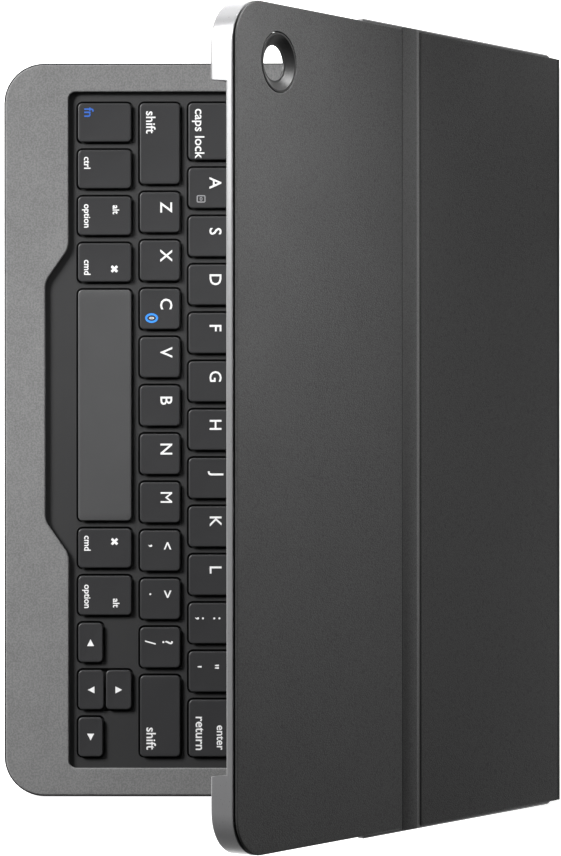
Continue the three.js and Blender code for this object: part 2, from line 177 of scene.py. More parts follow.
class Finish(Graph):
    """A material with a Principled surface, patterned in Object coordinates."""

    def __init__(self, name):
        self.material = bpy.data.materials.new(name)
        self.material.use_nodes = True
        super().__init__(self.material.node_tree)
        self.surface = self.tree.nodes["Principled BSDF"]
        self.place = self.node("ShaderNodeTexCoord").out("Object")

    def noise(self, size_mm, detail=2.0, roughness=0.5, where=None):
        where = where or self.place
        return self.node("ShaderNodeTexNoise", {}, Vector=where, Scale=1 / (size_mm * MM), Detail=detail,
                         Roughness=roughness)

    def cells(self, size_mm, feature, where):
        scale = 1 / (size_mm * MM)
        return self.node("ShaderNodeTexVoronoi", {"feature": feature}, Vector=where, Scale=scale)

    def stretched(self, x, y, z):
        return self.node("ShaderNodeVectorMath", {"operation": "MULTIPLY"}, self.place, (x, y, z))

    def blend(self, factor, one, other):
        mix = self.node("ShaderNodeMix", {"data_type": "RGBA"})
        for index, value in ((0, factor), (6, one), (7, other)):
            self.put(mix.owner.inputs[index], value)
        return Wire(self, mix.owner, 2)

    def bump(self, height, depth_mm, strength=1.0):
        values = {"Height": height, "Distance": depth_mm * MM, "Strength": strength}
        self.set(Normal=self.node("ShaderNodeBump", {}, **values))

    def set(self, **values):
        for key, value in values.items():
            self.put(self.surface.inputs[key.replace("_", " ")], value)
        return self


# %% [markdown]
# ### Leather
#
# The cover is split leather with a printed, fine pebble grain: flat little islands, half a millimetre
# across, with narrow valleys. Voronoi's distance to edge gives the valleys, a noise makes some islands
# duller than others, and slow mottling over a few centimetres keeps the black from looking like plastic.


# %% Leather finish
def leather_finish(name, base, light, roughness=0.6):
    f = Finish(name)
    wander = f.noise(3.5, 3.0)
    reach = (0.0006,) * 3
    warp = f.node("ShaderNodeVectorMath", {"operation": "MULTIPLY_ADD"}, wander.out("Color"), reach, f.place)
    valley = f.cells(0.68, "DISTANCE_TO_EDGE", warp).out("Distance").smooth(0.0, 0.2)
    island = f.cells(0.68, "F1", warp).out("Color")
    pores = f.noise(0.25, 2.0)
    cloud = f.noise(22.0, 4.0, 0.62)
    shade = 0.3 * valley + 0.38 * cloud + 0.2 * pores + 0.12 * f.node("ShaderNodeSeparateColor", {}, island)
    f.set(Base_Color=f.blend(shade, grey(base), grey(light)))
    f.set(Roughness=roughness - 0.12 * valley + 0.12 * (cloud - 0.5))
    f.set(Specular_IOR_Level=0.16)
    f.bump(valley * 0.8 + pores * 0.4, 0.05, 0.8)
    return f.material


leather = leather_finish("grained_leather", 0.0165, 0.053)
# A darker copy of the leather for the lower panel and the spine: painted shade, for the weaker light they
# catch.
panel_painted_shade_leather = leather_finish("lower_panel_painted_shade", 0.011, 0.036)
wrap_leather = leather_finish("base_wrap_leather", 0.009, 0.026)
# A lighter, glossier copy of the leather paints the bright highlight along the lower crease.
crease_highlight_leather = leather_finish("crease_painted_highlight", 0.05, 0.12, 0.45)
# A near-black copy of the leather for the webs in the creases and over the hinges: painted shade in those
# hollows.
crease_shade_leather = leather_finish("crease_painted_shade", 0.004, 0.012, 0.7)

# %% [markdown]
# ### Suede deck
#
# The palm rest is brushed microfibre. Its pile is far too fine to model, so the eye reads it from two
# things: soft patches where the nap leans a different way, and a speckle of fibre ends. Sheen lifts the
# grazing angles the way loose fibres do.


# %% Suede finish
def suede_finish(name, dark, light):
    f = Finish(name)
    nap = f.noise(9.0, 4.0, 0.62)
    streak = f.noise(1.1, 3.0, 0.6, f.stretched(0.35, 1.0, 1.0))
    fibre = f.noise(0.16, 2.0)
    speck = f.noise(0.55, 2.0).smooth(0.35, 0.65)
    f.set(Base_Color=f.blend(0.3 * nap + 0.2 * streak + 0.2 * fibre + 0.3 * speck, grey(dark), grey(light)))
    f.set(Roughness=0.94, Sheen_Weight=0.22, Sheen_Roughness=0.5, Specular_IOR_Level=0.15)
    f.bump(fibre * 0.7 + streak * 0.5, 0.05, 0.5)
    return f.material


suede = suede_finish("brushed_suede", 0.085, 0.225)
felt = suede_finish("black_felt", 0.012, 0.03)

# %% [markdown]
# ### Moulded plastics
#
# Keys have a soft-touch coat over a spark-eroded mould: a dull sheen broken by a very fine stipple. The
# bezel has the same mould texture without the coat, the camera funnel is satin, and the tray is polished
# and slightly pearly. One function covers them, because only the numbers differ.


# %% Plastic finishes
def plastic_finish(name, colour, spread, roughness, stipple_mm=0.18, depth=0.012, **extra):
    f = Finish(name)
    stipple = f.noise(stipple_mm, 2.0)
    drift = f.noise(14.0, 2.0)
    shade = 0.5 * stipple + 0.5 * drift
    lighter = tuple(min(1.0, c * (1 + spread)) for c in colour) + (1.0,)
    f.set(Base_Color=f.blend(shade, tuple(colour) + (1.0,), lighter))
    f.set(Roughness=roughness + 0.12 * (stipple - 0.5), **extra)
    f.bump(stipple, depth, 0.6)
    return f.material


key_plastic = plastic_finish("soft_touch_key", (0.02, 0.02, 0.021), 0.6, 0.44, Specular_IOR_Level=0.4)
# The space bar's lighter copy of the key plastic is a painted highlight on its top.
space_highlight_plastic = plastic_finish("thumb_polished_key", (0.046, 0.046, 0.047), 0.5, 0.4)
bezel_plastic = plastic_finish("spark_textured_bezel", (0.011, 0.011, 0.0115), 0.7, 0.58, 0.24, 0.02)
# The black shell plastic also paints shade on the silver tray where it lies in the dark under the leather.
shell_plastic = plastic_finish("black_shell_and_painted_shade", (0.006, 0.006, 0.006), 0.6, 0.6)
satin_plastic = plastic_finish("satin_black", (0.006, 0.006, 0.006), 0.8, 0.42, 0.35, 0.02,
                               Specular_IOR_Level=0.3)
tray_plastic = plastic_finish("silver_tray", (0.17, 0.17, 0.173), 0.12, 0.3, 0.5, 0.002, Metallic=0.4,
                              Coat_Weight=0.3, Coat_Roughness=0.1)
print_white = plastic_finish("white_print", (0.72, 0.72, 0.72), 0.1, 0.55, 0.3, 0.004)
print_blue = plastic_finish("blue_print", (0.02, 0.1, 0.42), 0.2, 0.5, 0.3, 0.004)
print_bright_blue = plastic_finish("bright_blue_print", (0.03, 0.22, 0.72), 0.2, 0.5, 0.3, 0.004)
print_grey = plastic_finish("grey_print", (0.25, 0.25, 0.26), 0.2, 0.55, 0.3, 0.004)
silicone = plastic_finish("dome_silicone", (0.006, 0.006, 0.006), 0.6, 0.62)
stiffener = plastic_finish("stiffener_sheet", (0.03, 0.03, 0.03), 0.5, 0.8, 0.4, 0.02)
laminate = plastic_finish("circuit_laminate", (0.012, 0.075, 0.04), 0.3, 0.4)


# %% [markdown]
# ### Metals
#
# Brushed steel is noise drawn out along the direction of the brush, which modulates roughness and bump.


# %% Metal finishes
def metal_finish(name, level, roughness, run=(0.02, 1.0, 1.0)):
    f = Finish(name)
    brush = f.noise(0.35, 3.0, 0.6, f.stretched(*run))
    f.set(Base_Color=f.blend(brush, grey(level * 0.85), grey(level)), Metallic=1.0)
    f.set(Roughness=roughness + 0.18 * (brush - 0.5))
    f.bump(brush, 0.004, 0.5)
    return f.material


steel = metal_finish("brushed_steel", 0.55, 0.34)
foil = metal_finish("battery_foil", 0.62, 0.42, (1.0, 0.05, 1.0))

# %% [markdown]
# ## Outlines and shells
#
# Nearly every part is a thin sheet with a shaped outline and softened edges. An outline is a list of
# corners, each with a radius. A shell is made of rings: the same outline at different heights and insets,
# stitched into walls, with flat caps across the first and last ring. A few rings along a quarter circle
# make a rolled edge, and one more just inside it keeps the flat face's shading flat.


# %% Outlines
def outline(corners, steps=10):
    """Points round a closed outline of [x, y, radius] corners, with round corners as arcs."""
    points = []
    for i, (x, y, radius) in enumerate(corners):
        here = Vector((x, y))
        back = (Vector(corners[i - 1][:2]) - here).normalized()
        ahead = (Vector(corners[(i + 1) % len(corners)][:2]) - here).normalized()
        if radius <= 0:
            points.append(here)
            continue
        half = back.angle(ahead) / 2
        centre = here + (back + ahead).normalized() * (radius / math.sin(half))
        start = here + back * (radius / math.tan(half)) - centre
        turn = math.copysign(math.pi - 2 * half, ahead.x * back.y - ahead.y * back.x)
        for k in range(steps + 1):
            angle = turn * k / steps
            c, s = math.cos(angle), math.sin(angle)
            points.append(centre + Vector((start.x * c - start.y * s, start.x * s + start.y * c)))
    return points


def rounded_box(low, high, radius, inset=0.0, steps=6):
    x0, y0, x1, y1 = low[0] + inset, low[1] + inset, high[0] - inset, high[1] - inset
    r = max(radius - inset, 0.05)
    return outline([(x0, y0, r), (x1, y0, r), (x1, y1, r), (x0, y1, r)], steps)


def circle(centre, radius, sides=64):
    angles = [2 * math.pi * k / sides for k in range(sides)]
    return [Vector((centre[0] + radius * math.cos(a), centre[1] + radius * math.sin(a))) for a in angles]


def at(points, z):
    return [(p[0], p[1], z) for p in points]


SUPPORT = 0.3  # from the end of a rolled edge to the extra ring on the flat

def roll(plan, top, radius, steps=4):
    """Rings that round an edge from the wall in to the flat face at height top."""
    rings = []
    for k in range(steps + 1):
        a = math.pi / 2 * k / steps
        rings.append(at(plan(radius * (1 - math.cos(a))), top - radius * (1 - math.sin(a))))
    rings.append(at(plan(radius + SUPPORT), top))
    return rings


# %% Shells
SHARP_ANGLE = 34.0  # degrees between two faces, past which their edge is drawn sharp

class Shell:
    """Rings and caps that become one mesh."""

    def __init__(self):
        self.bm = bmesh.new()

    def ring(self, points):
        return [self.bm.verts.new(p) for p in points]

    def wall(self, a, b):
        for i in range(len(a)):
            j = (i + 1) % len(a)
            self.bm.faces.new((a[i], a[j], b[j], b[i]))

    def loft(self, rings):
        made = [self.ring(r) for r in rings]
        for a, b in zip(made, made[1:]):
            self.wall(a, b)
        return made[0], made[-1]

    def cap(self, *loops):
        edges = []
        for loop in loops:
            for a, b in zip(loop, loop[1:] + loop[:1]):
                edges.append(self.bm.edges.get((a, b)) or self.bm.edges.new((a, b)))
        bmesh.ops.triangle_fill(self.bm, use_beauty=True, edges=edges)

    def sheet(self, outer, *holes):
        """A closed plate: rings of its outside from bottom to top, and of each hole's wall."""
        pairs = [self.loft(outer)] + [self.loft(hole) for hole in holes]
        self.cap(*[pair[0] for pair in pairs])
        self.cap(*[pair[1] for pair in pairs])

    def mesh(self, name, space=HERE, crease=SHARP_ANGLE):
        bmesh.ops.recalc_face_normals(self.bm, faces=self.bm.faces)
        self.bm.transform(Matrix.Scale(MM, 4) @ space)
        for face in self.bm.faces:
            face.smooth = True
        mesh = bpy.data.meshes.new(name)
        self.bm.to_mesh(mesh)
        self.bm.free()
        mesh.set_sharp_from_angle(angle=math.radians(crease))
        return mesh

    def plain(self, name):
        """The shell as a mesh, still in millimetres."""
        bmesh.ops.recalc_face_normals(self.bm, faces=self.bm.faces)
        mesh = bpy.data.meshes.new(name)
        self.bm.to_mesh(mesh)
        self.bm.free()
        return mesh


def show(name, mesh, body, slot, *materials, replaces):
    """Adds a finished mesh as a piece that rides on a body."""
    for material in materials:
        mesh.materials.append(material)
    obj = bpy.data.objects.new(name, mesh)
    bpy.context.scene.collection.objects.link(obj)
    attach(obj, body)
    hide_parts(*replaces)
    return obj


def edged_sheet(plan, bottom, top, radius):
    """Rings of a plate that is rolled at its top edge and eased at its bottom edge."""
    ease = 0.12
    foot = [at(plan(0.5), bottom), at(plan(ease), bottom), at(plan(0), bottom + ease)]
    return foot + roll(plan, top, radius)


# %% [markdown]
# ## Base leather
#
# The leather that wraps the base is one sheet, turned up round three sides. Its lower edge is soft, its
# lip is a thin line beside the suede, and it stops short of the spine so the fold can move. The port and
# the switch need windows in the right-hand wall, which a boolean cuts.

# %% Base leather
skin_low, skin_high = span("base_skin")
lining_low, lining_high = span("deck_lining")
frame_low, frame_high = span("deck_frame")
side, front, rear = skin_high.x, skin_low.y, skin_high.y
BASE_CORNER = 13.7
RIM_WALL = 0.38
SHEET = 0.9



def rim_ring(inset, z):
    """A ring of the base leather. The wall ends just before the spine, where the sheet lies flat."""
    stop = rear - 0.7
    r = BASE_CORNER - inset
    x, y = side - inset, front + inset
    corners = [(-x, y, r), (x, y, r), (x, stop, 0), (x, stop + 0.01, 0), (x, rear, 0)]
    corners += [(-x, rear, 0), (-x, stop + 0.01, 0), (-x, stop, 0)]
    points = outline(corners, 14)
    return [(p.x, p.y, min(z, SHEET) if p.y > stop + 0.005 else z) for p in points]


def make_base_leather():
    shell = Shell()
    turn = 0.8
    rings = [rim_ring(turn + 0.4, 0.0)]
    for k in range(6):
        a = math.pi / 2 * k / 5
        rings.append(rim_ring(turn * (1 - math.sin(a)), turn * (1 - math.cos(a))))
    lip = RIM_WALL / 2
    for k in range(7):
        a = math.pi * k / 6
        rings.append(rim_ring(lip * (1 - math.cos(a)), skin_high.z - lip + lip * math.sin(a)))
    rings.append(rim_ring(RIM_WALL, SHEET))
    first, last = shell.loft(rings)
    shell.cap(first)
    shell.cap(last)
    return shell.mesh("base_leather")


def carve(obj, cutters):
    """Cuts obj with each cutter and leaves a plain mesh."""
    for cutter in cutters:
        modifier = obj.modifiers.new("cut", "BOOLEAN")
        modifier.operation, modifier.object, modifier.solver = "DIFFERENCE", cutter, "EXACT"
    bpy.context.view_layer.update()
    done = bpy.data.meshes.new_from_object(obj.evaluated_get(bpy.context.evaluated_depsgraph_get()))
    obj.modifiers.clear()
    obj.data = done
    for cutter in cutters:
        bpy.data.objects.remove(cutter)


switch_low, switch_high = span("power_switch")
TRAVEL = record_joints["power_switch_slide"]["range_m"][1] / MM
base_leather = show("base_leather", make_base_leather(), "base", "leather", wrap_leather,
                    replaces=["base_skin"])

# %% [markdown]
# ## Suede deck
#
# The deck is a sheet of suede on a rigid frame, with an opening for the keys. The opening has a scoop in
# front of the space bar so that thumbs clear the edge. Behind the keys a shallow groove, pressed into the
# suede, takes the tray's edge when the case stands up. The sheet is drawn as three flush panels: the
# keyboard surround, the floor of the groove, and the plain panel behind it.

# %% The well's outline
bezel_low, bezel_high = span("key_bezel")
LAP = 1.5
well_side = bezel_high.x - LAP
well_rear = bezel_high.y - LAP
space_low, space_high = span("key_space")
KEY_NODES = [n for n in frame["nodes"] if n.startswith("key_") and n != "key_bezel"]
KEY_GAP, KEY_TO_WALL = 2.7, 3.2
row_low = min(span(n)[0].y for n in KEY_NODES)
well_front = row_low - KEY_TO_WALL
notch_front = bezel_low.y + LAP
NOTCH_SLOPE, NOTCH_RADIUS, WELL_RADIUS = 11.5, 7.0, 2.5
notch_left, notch_right = space_low.x - KEY_GAP, space_high.x


def well_plan(grow=0.0):
    """The keyboard opening, grown outwards."""
    g = grow
    return outline([
        (-well_side - g, well_front - g, WELL_RADIUS + g),
        (notch_left - NOTCH_SLOPE - g * 0.3, well_front - g, NOTCH_RADIUS - g),
        (notch_left - g * 0.3, notch_front - g, NOTCH_RADIUS + g),
        (notch_right + g * 0.3, notch_front - g, NOTCH_RADIUS + g),
        (notch_right + NOTCH_SLOPE + g * 0.3, well_front - g, NOTCH_RADIUS - g),
        (well_side + g, well_front - g, WELL_RADIUS + g),
        (well_side + g, well_rear + g, WELL_RADIUS + g),
        (-well_side - g, well_rear + g, WELL_RADIUS + g),
    ], 10)


# %% The suede
GROOVE_GAP, GROOVE_WIDTH, GROOVE_DEPTH = 4.2, 4.8, 0.6
groove_front = well_rear + GROOVE_GAP
groove_rear = groove_front + GROOVE_WIDTH


def make_suede():
    shell = Shell()
    low, high = lining_low.z, lining_high.z
    x, y = lining_high.x, lining_low.y
    corner = BASE_CORNER - (side - x)

    def surround(inset):
        r = corner - inset
        back = groove_front - inset
        return outline([(-x + inset, y + inset, r), (x - inset, y + inset, r), (x - inset, back, 0),
                        (-x + inset, back, 0)], 14)

    edge = 0.45
    opening = [at(well_plan(0.15), low), at(well_plan(0.0), low + 0.3)] + roll(well_plan, high, edge)
    shell.sheet([at(surround(0), low)] + roll(surround, high, edge), opening)
    groove_floor = (groove_front, groove_rear, high - GROOVE_DEPTH, 0.02)
    rear_panel = (groove_rear, lining_high.y, high, edge)
    for y0, y1, top, soft in (groove_floor, rear_panel):
        def panel(inset, y0=y0, y1=y1):
            return rounded_box((-x, y0), (x, y1), 0.1, inset, 1)
        shell.sheet([at(panel(0), low)] + roll(panel, top, soft))
    return shell.mesh("suede_deck")


show("suede_deck", make_suede(), "base", "suede", suede, replaces=["deck_lining"])

# %% [markdown]
# ## Deck frame
#
# Below the suede the well's wall is the black edge of a moulded frame. It is redrawn from the same
# outline as the suede, so the two edges follow each other round the scoop.


# %% Deck frame
def make_deck_frame():
    shell = Shell()
    low, high = frame_low.z, frame_high.z
    x, y, back = frame_high.x, frame_low.y, frame_high.y
    r = BASE_CORNER - (side - x)
    plan = outline([(-x, y, r), (x, y, r), (x, back, 0), (-x, back, 0)], 14)
    shell.sheet([at(plan, low), at(plan, high)], [at(well_plan(0.12), low), at(well_plan(0.12), high)])
    return shell.mesh("deck_frame_moulding")


show("deck_frame_moulding", make_deck_frame(), "base", "shell_plastic", shell_plastic,
     replaces=["deck_frame"])

# %% [markdown]
# ## Key bezel
#
# The bezel is one moulding with a rounded window for each key. Each window's edge has a small lead-in,
# which catches the light between keys. The three rows that are moulded on one web share a window each.

# %% Key bezel
FRONT_ROWS = [n for n in KEY_NODES if not n.startswith("key_row")]
WEB_ROWS = [n for n in KEY_NODES if n.startswith("key_row")]
WINDOW_GAP = 0.6


def make_bezel():
    shell = Shell()
    low, high = bezel_low.z, bezel_high.z
    windows = [span(n) for n in FRONT_ROWS + WEB_ROWS if n not in ("key_arrow_up", "key_arrow_down")]
    windows.append((span("key_arrow_down")[0], span("key_arrow_up")[1]))
    holes = []
    for key_low, key_high in windows:
        def window(out, a=key_low, b=key_high):
            grow = WINDOW_GAP - 0.02 + out
            return rounded_box(a, b, 1.5, -grow, 5)
        holes.append([at(window(0), low), at(window(0), high - 0.15), at(window(0.12), high)])
    plan = outline([
        (-well_side - LAP, well_front - LAP, 3), (notch_left - NOTCH_SLOPE, well_front - LAP, 7),
        (notch_left, bezel_low.y, 7), (notch_right, bezel_low.y, 7),
        (notch_right + NOTCH_SLOPE, well_front - LAP, 7), (well_side + LAP, well_front - LAP, 3),
        (well_side + LAP, bezel_high.y, 3), (-well_side - LAP, bezel_high.y, 3)], 4)
    shell.sheet([at(plan, low), at(plan, high)], *holes)
    return shell.mesh("key_bezel_moulding")


show("key_bezel_moulding", make_bezel(), "base", "bezel_plastic", bezel_plastic, replaces=["key_bezel"])

# %% [markdown]
# ## Key caps
#
# All 77 caps follow one rule: a rounded rectangle, a short vertical wall, a rolled edge and a top that
# dishes slightly. That makes them a job for Geometry Nodes. The tree fillets a rectangle, fills it and
# extrudes the fill several times; each step moves the new rim inwards along its corner's own direction,
# so the roll is even all the way round whatever the cap's proportions.


# %% The cap tree
CAP_INPUTS = {"Width": 13.8, "Depth": 13.9, "Corner": 1.5, "Height": 1.7, "Roll": 0.38, "Dish": 0.09}


def cap_tree():
    tree = bpy.data.node_groups.new("key_cap", "GeometryNodeTree")
    tree.is_modifier = True
    tree.interface.new_socket("Geometry", in_out="INPUT", socket_type="NodeSocketGeometry")
    for name, value in CAP_INPUTS.items():
        tree.interface.new_socket(name, in_out="INPUT", socket_type="NodeSocketFloat").default_value = value
    tree.interface.new_socket("Material", in_out="INPUT", socket_type="NodeSocketMaterial")
    tree.interface.new_socket("Geometry", in_out="OUTPUT", socket_type="NodeSocketGeometry")
    g = Graph(tree)
    given = g.node("NodeGroupInput")
    width, depth, corner = given.out("Width"), given.out("Depth"), given.out("Corner")
    height, rolled, dish = given.out("Height"), given.out("Roll"), given.out("Dish")

    def vector(operation, *values):
        return g.node("ShaderNodeVectorMath", {"operation": operation}, *values)

    def xyz(x=0.0, y=0.0, z=0.0):
        return g.node("ShaderNodeCombineXYZ", {}, x, y, z)

    frame_curve = g.node("GeometryNodeCurvePrimitiveQuadrilateral", {}, width, depth)
    filleted = g.node("GeometryNodeFilletCurve", {"mode": "POLY"}, Curve=frame_curve, Radius=corner, Count=7)
    floor = g.node("GeometryNodeFillCurve", {"mode": "NGONS"}, Curve=filleted)
    where = g.node("GeometryNodeInputPosition")
    reach = xyz(width / 2 - corner, depth / 2 - corner, 100.0)
    far_side = vector("MULTIPLY", reach, (-1.0, -1.0, -1.0))
    nearest = vector("MAXIMUM", vector("MINIMUM", where, reach), far_side)
    outwards = vector("NORMALIZE", vector("SUBTRACT", where, nearest))

    mesh, top = floor, None

    def extrude(rise):
        nonlocal mesh, top
        values = {"Mesh": mesh, "Offset": xyz(z=rise), "Individual": False}
        if top:
            values["Selection"] = top
        step = g.node("GeometryNodeExtrudeMesh", {"mode": "FACES"}, **values)
        mesh, top = step.out("Mesh"), step.out("Top")

    def pull(offset=None, place=None):
        nonlocal mesh
        values = {"Geometry": mesh, "Selection": top}
        values.update({"Offset": offset} if offset else {"Position": place})
        mesh = g.node("GeometryNodeSetPosition", {}, **values)

    def inset(distance):
        scaled = g.node("ShaderNodeVectorMath", {"operation": "SCALE"}, outwards)
        g.put(scaled.owner.inputs["Scale"], distance * -1.0)
        pull(offset=scaled)

    extrude(height - rolled)
    steps = 4
    for k in range(1, steps + 1):
        before, now = math.pi / 2 * (k - 1) / steps, math.pi / 2 * k / steps
        extrude(rolled * (math.sin(now) - math.sin(before)))
        inset(rolled * (math.cos(before) - math.cos(now)))
    for shrink, drop in ((0.94, 0.12), (0.8, 0.28), (0.6, 0.3), (0.5, 0.2)):
        extrude(dish * -drop)
        pull(place=vector("MULTIPLY", where, (shrink, shrink, 1.0)))
    under = g.node("GeometryNodeFlipFaces", {}, Mesh=floor)
    joined = g.node("GeometryNodeJoinGeometry")
    for part in (mesh, under):
        tree.links.new(part.socket, joined.owner.inputs[0])
    whole = g.node("GeometryNodeMergeByDistance", {}, Geometry=joined, Distance=0.001)
    real = g.node("GeometryNodeRealizeInstances", {}, Geometry=whole)
    done = g.node("GeometryNodeSetMaterial", {}, Geometry=real, Material=given.out("Material"))
    g.node("NodeGroupOutput", {}, Geometry=done)
    return tree


def sockets(tree):
    """The identifier of each of a tree's inputs, by name."""
    return {item.name: item.identifier for item in tree.interface.items_tree if item.in_out == "INPUT"}

CAP_TREE = cap_tree()
CAP_SOCKETS = sockets(CAP_TREE)


def caps(boxes):
    """One plain mesh, in millimetres, for each (low, high) box. All are evaluated together."""
    made = []
    for low, high in boxes:
        obj = bpy.data.objects.new("cap", bpy.data.meshes.new("cap"))
        bpy.context.scene.collection.objects.link(obj)
        modifier = obj.modifiers.new("cap", "NODES")
        modifier.node_group = CAP_TREE
        values = {"Width": high.x - low.x, "Depth": high.y - low.y, "Height": high.z - low.z,
                  "Material": key_plastic}
        for name, value in values.items():
            modifier[CAP_SOCKETS[name]] = value
        made.append(obj)
    bpy.context.view_layer.update()
    depsgraph = bpy.context.evaluated_depsgraph_get()
    meshes = []
    for obj, (low, high) in zip(made, boxes):
        mesh = bpy.data.meshes.new_from_object(obj.evaluated_get(depsgraph))
        mesh.transform(Matrix.Translation(((low.x + high.x) / 2, (low.y + high.y) / 2, low.z)))
        meshes.append(mesh)
        bpy.data.objects.remove(obj)
    return meshes


# %% [markdown]
# ## Printed marks
#
# Marks are printed in a plain sans face. Each is a text curve turned into a mesh, thin enough to sit in
# the cap's dish, and laid out from the cap's own edges: letters near the rear left corner, words along the
# front edge. Signs that belong to one maker are left out; a small cross stands for the command sign and a
# ring for the pairing mark.

# %% Marks as meshes
LETTER, WORD, SMALL = 5.75, 4.55, 3.1
INK_DEPTH, INK_SET = 0.045, 0.035  # half its thickness, and its middle's depth under the cap's top
INKS = {"white": 1, "blue": 2, "bright": 3, "grey": 4}


def text_mesh(body, size):
    bold = 0.0 if body == "M" else 0.05  # a wider M folds over itself
    curve = bpy.data.curves.new("mark", "FONT")
    curve.body, curve.size, curve.offset = body, size, bold
    curve.extrude, curve.resolution_u = INK_DEPTH, 3
    obj = bpy.data.objects.new("mark", curve)
    bpy.context.scene.collection.objects.link(obj)
    bpy.context.view_layer.update()
    mesh = bpy.data.meshes.new_from_object(obj.evaluated_get(bpy.context.evaluated_depsgraph_get()))
    bpy.data.objects.remove(obj)
    return mesh


def flat_mark(loops):
    shell = Shell()
    shell.sheet(*[[at(loop, -INK_DEPTH), at(loop, INK_DEPTH)] for loop in loops])
    return shell.plain("mark")


def triangle_mark(turn):
    points = [Matrix.Rotation(turn, 2) @ Vector(p) for p in ((1.35, 0), (-0.95, 1.2), (-0.95, -1.2))]
    return flat_mark([points])


def ring_mark(half_width, half_height, wall):
    turns = [2 * math.pi * k / 28 for k in range(28)]
    rims = [(half_width, half_height), (half_width - wall, half_height - wall)]
    return flat_mark([[Vector((a * math.cos(t), b * math.sin(t))) for t in turns] for a, b in rims])


def cross_mark():
    arm, half = 1.35, 0.42
    plus = [(half, half), (half, arm), (-half, arm), (-half, half), (-arm, half), (-arm, -half),
            (-half, -half), (-half, -arm), (half, -arm), (half, -half), (arm, -half), (arm, half)]
    return flat_mark([[Matrix.Rotation(math.pi / 4, 2) @ Vector(p) for p in plus]])


def frame_mark(width, height, wall):
    box = (Vector((-width / 2, -height / 2)), Vector((width / 2, height / 2)))
    return flat_mark([rounded_box(*box, 0.5, 0, 3), rounded_box(*box, 0.5, wall, 3)])


# %% Where each mark goes
# Each mark is (mesh maker, ink, place, across, up). At L and R its side stands across from that edge of the
# cap, and its foot up from the front edge. At letter and letter_right its middle stands across from the left
# or right edge, and as far down from the rear edge. At middle it is centred.
def word(body, size, ink, edge, across, up):
    return lambda: text_mesh(body, size), ink, edge, across, up


def letter(body):
    return word(body, LETTER, "white", "letter", 5.2, 4.7)


def pair(upper, lower):
    size = LETTER * 0.88
    return [word(upper, size, "white", "letter", 5.2, 4.3), word(lower, size, "white", "letter", 5.2, 10.2)]


def command(edge):
    cross = (cross_mark, "white", "letter" if edge == "L" else "letter_right", 4.4, 5.8)
    return [cross, word("cmd", SMALL, "white", edge, 2.4, 2.1)]


def arrow(turn):
    return [(lambda: triangle_mark(turn), "white", "middle", 0, 0)]


MARKS = {
    "fn": [word("fn", WORD, "blue", "L", 1.5, 2.2)],
    "ctrl": [word("ctrl", SMALL, "white", "L", 2.4, 2.1)],
    "alt_left": [word("alt", SMALL, "white", "L", 3.0, 11.9),
                 word("option", SMALL, "white", "L", 2.6, 2.1)],
    "cmd_left": command("R"),
    "cmd_right": command("L"),
    "alt_right": [word("alt", SMALL, "white", "R", 2.6, 11.9),
                  word("option", SMALL, "white", "R", 2.4, 2.1)],
    "arrow_left": arrow(math.pi),
    "arrow_right": arrow(0),
    "arrow_up": arrow(math.pi / 2),
    "arrow_down": arrow(-math.pi / 2),
    "shift_left": [word("shift", WORD, "white", "L", 2.8, 2.2)],
    "shift_right": [word("shift", WORD, "white", "R", 2.4, 2.2)],
    "caps_lock": [word("caps lock", WORD, "white", "L", 2.0, 2.3)],
    "return": [word("return", WORD, "white", "R", 2.3, 2.4),
               word("enter", WORD * 0.85, "white", "R", 2.3, 9.6)],
    "comma": pair("<", ","),
    "period": pair(">", "."),
    "slash": pair("?", "/"),
    "semicolon": pair(":", ";"),
    "quote": pair('"', "'"),
}
MARKS.update({name: [letter(name.upper())] for name in "asdfghjklzxcvbnm"})
MARKS["a"].append((lambda: frame_mark(2.5, 3.0, 0.35), "grey", "letter", 10.6, 9.6))
MARKS["a"].append((lambda: frame_mark(1.3, 0.9, 0.25), "grey", "letter", 10.6, 9.6))
MARKS["c"].append((lambda: ring_mark(1.65, 2.2, 0.7), "bright", "letter", 10.0, 9.7))
MARKS["c"].append((lambda: frame_mark(0.7, 1.7, 0.2), "white", "letter", 10.0, 9.7))

ROW_MARKS = {
    "key_row_upper_letters": [["tab"]] + [[c] for c in "QWERTYUIOP"] + [["{", "["], ["}", "]"]],
    "key_row_digits": [[a, b] for a, b in zip("~!@#$%^&*()_+", "`1234567890-=")] + [["delete"]],
    "key_row_functions": [["esc"]] + [[f"F{n}"] for n in range(1, 13)] + [["home"]],
}


def place_mark(made, box):
    """Moves a mark onto its cap. The top of the ink stands just above the dish."""
    maker, ink, edge, across, up = made
    mesh = maker()
    low, high = box
    points = np.array([v.co for v in mesh.vertices])
    a, b = points.min(0), points.max(0)
    middle = (a + b) / 2
    if edge == "L":
        x, y = low.x + across - a[0], low.y + up
    elif edge == "R":
        x, y = high.x - across - b[0], low.y + up
    elif edge == "letter":
        x, y = low.x + across - middle[0], high.y - up - middle[1]
    elif edge == "letter_right":
        x, y = high.x - across - middle[0], high.y - up - middle[1]
    else:
        x, y = (low.x + high.x) / 2 - middle[0], (low.y + high.y) / 2 - middle[1]
    mesh.transform(Matrix.Translation((x, y, high.z - INK_SET)))
    return mesh, INKS[ink]


# %% Caps with their marks
def weld(parts, name):
    """Joins millimetre meshes, each with a material number, into one finished mesh."""
    bm = bmesh.new()
    for mesh, number in parts:
        start = len(bm.faces)
        bm.from_mesh(mesh)
        bm.faces.ensure_lookup_table()
        for face in bm.faces[start:]:
            face.material_index = number
            face.smooth = True
    bm.transform(Matrix.Scale(MM, 4))
    joined = bpy.data.meshes.new(name)
    bm.to_mesh(joined)
    bm.free()
    joined.set_sharp_from_angle(angle=math.radians(SHARP_ANGLE))
    return joined


PRINTS = (print_white, print_blue, print_bright_blue, print_grey)


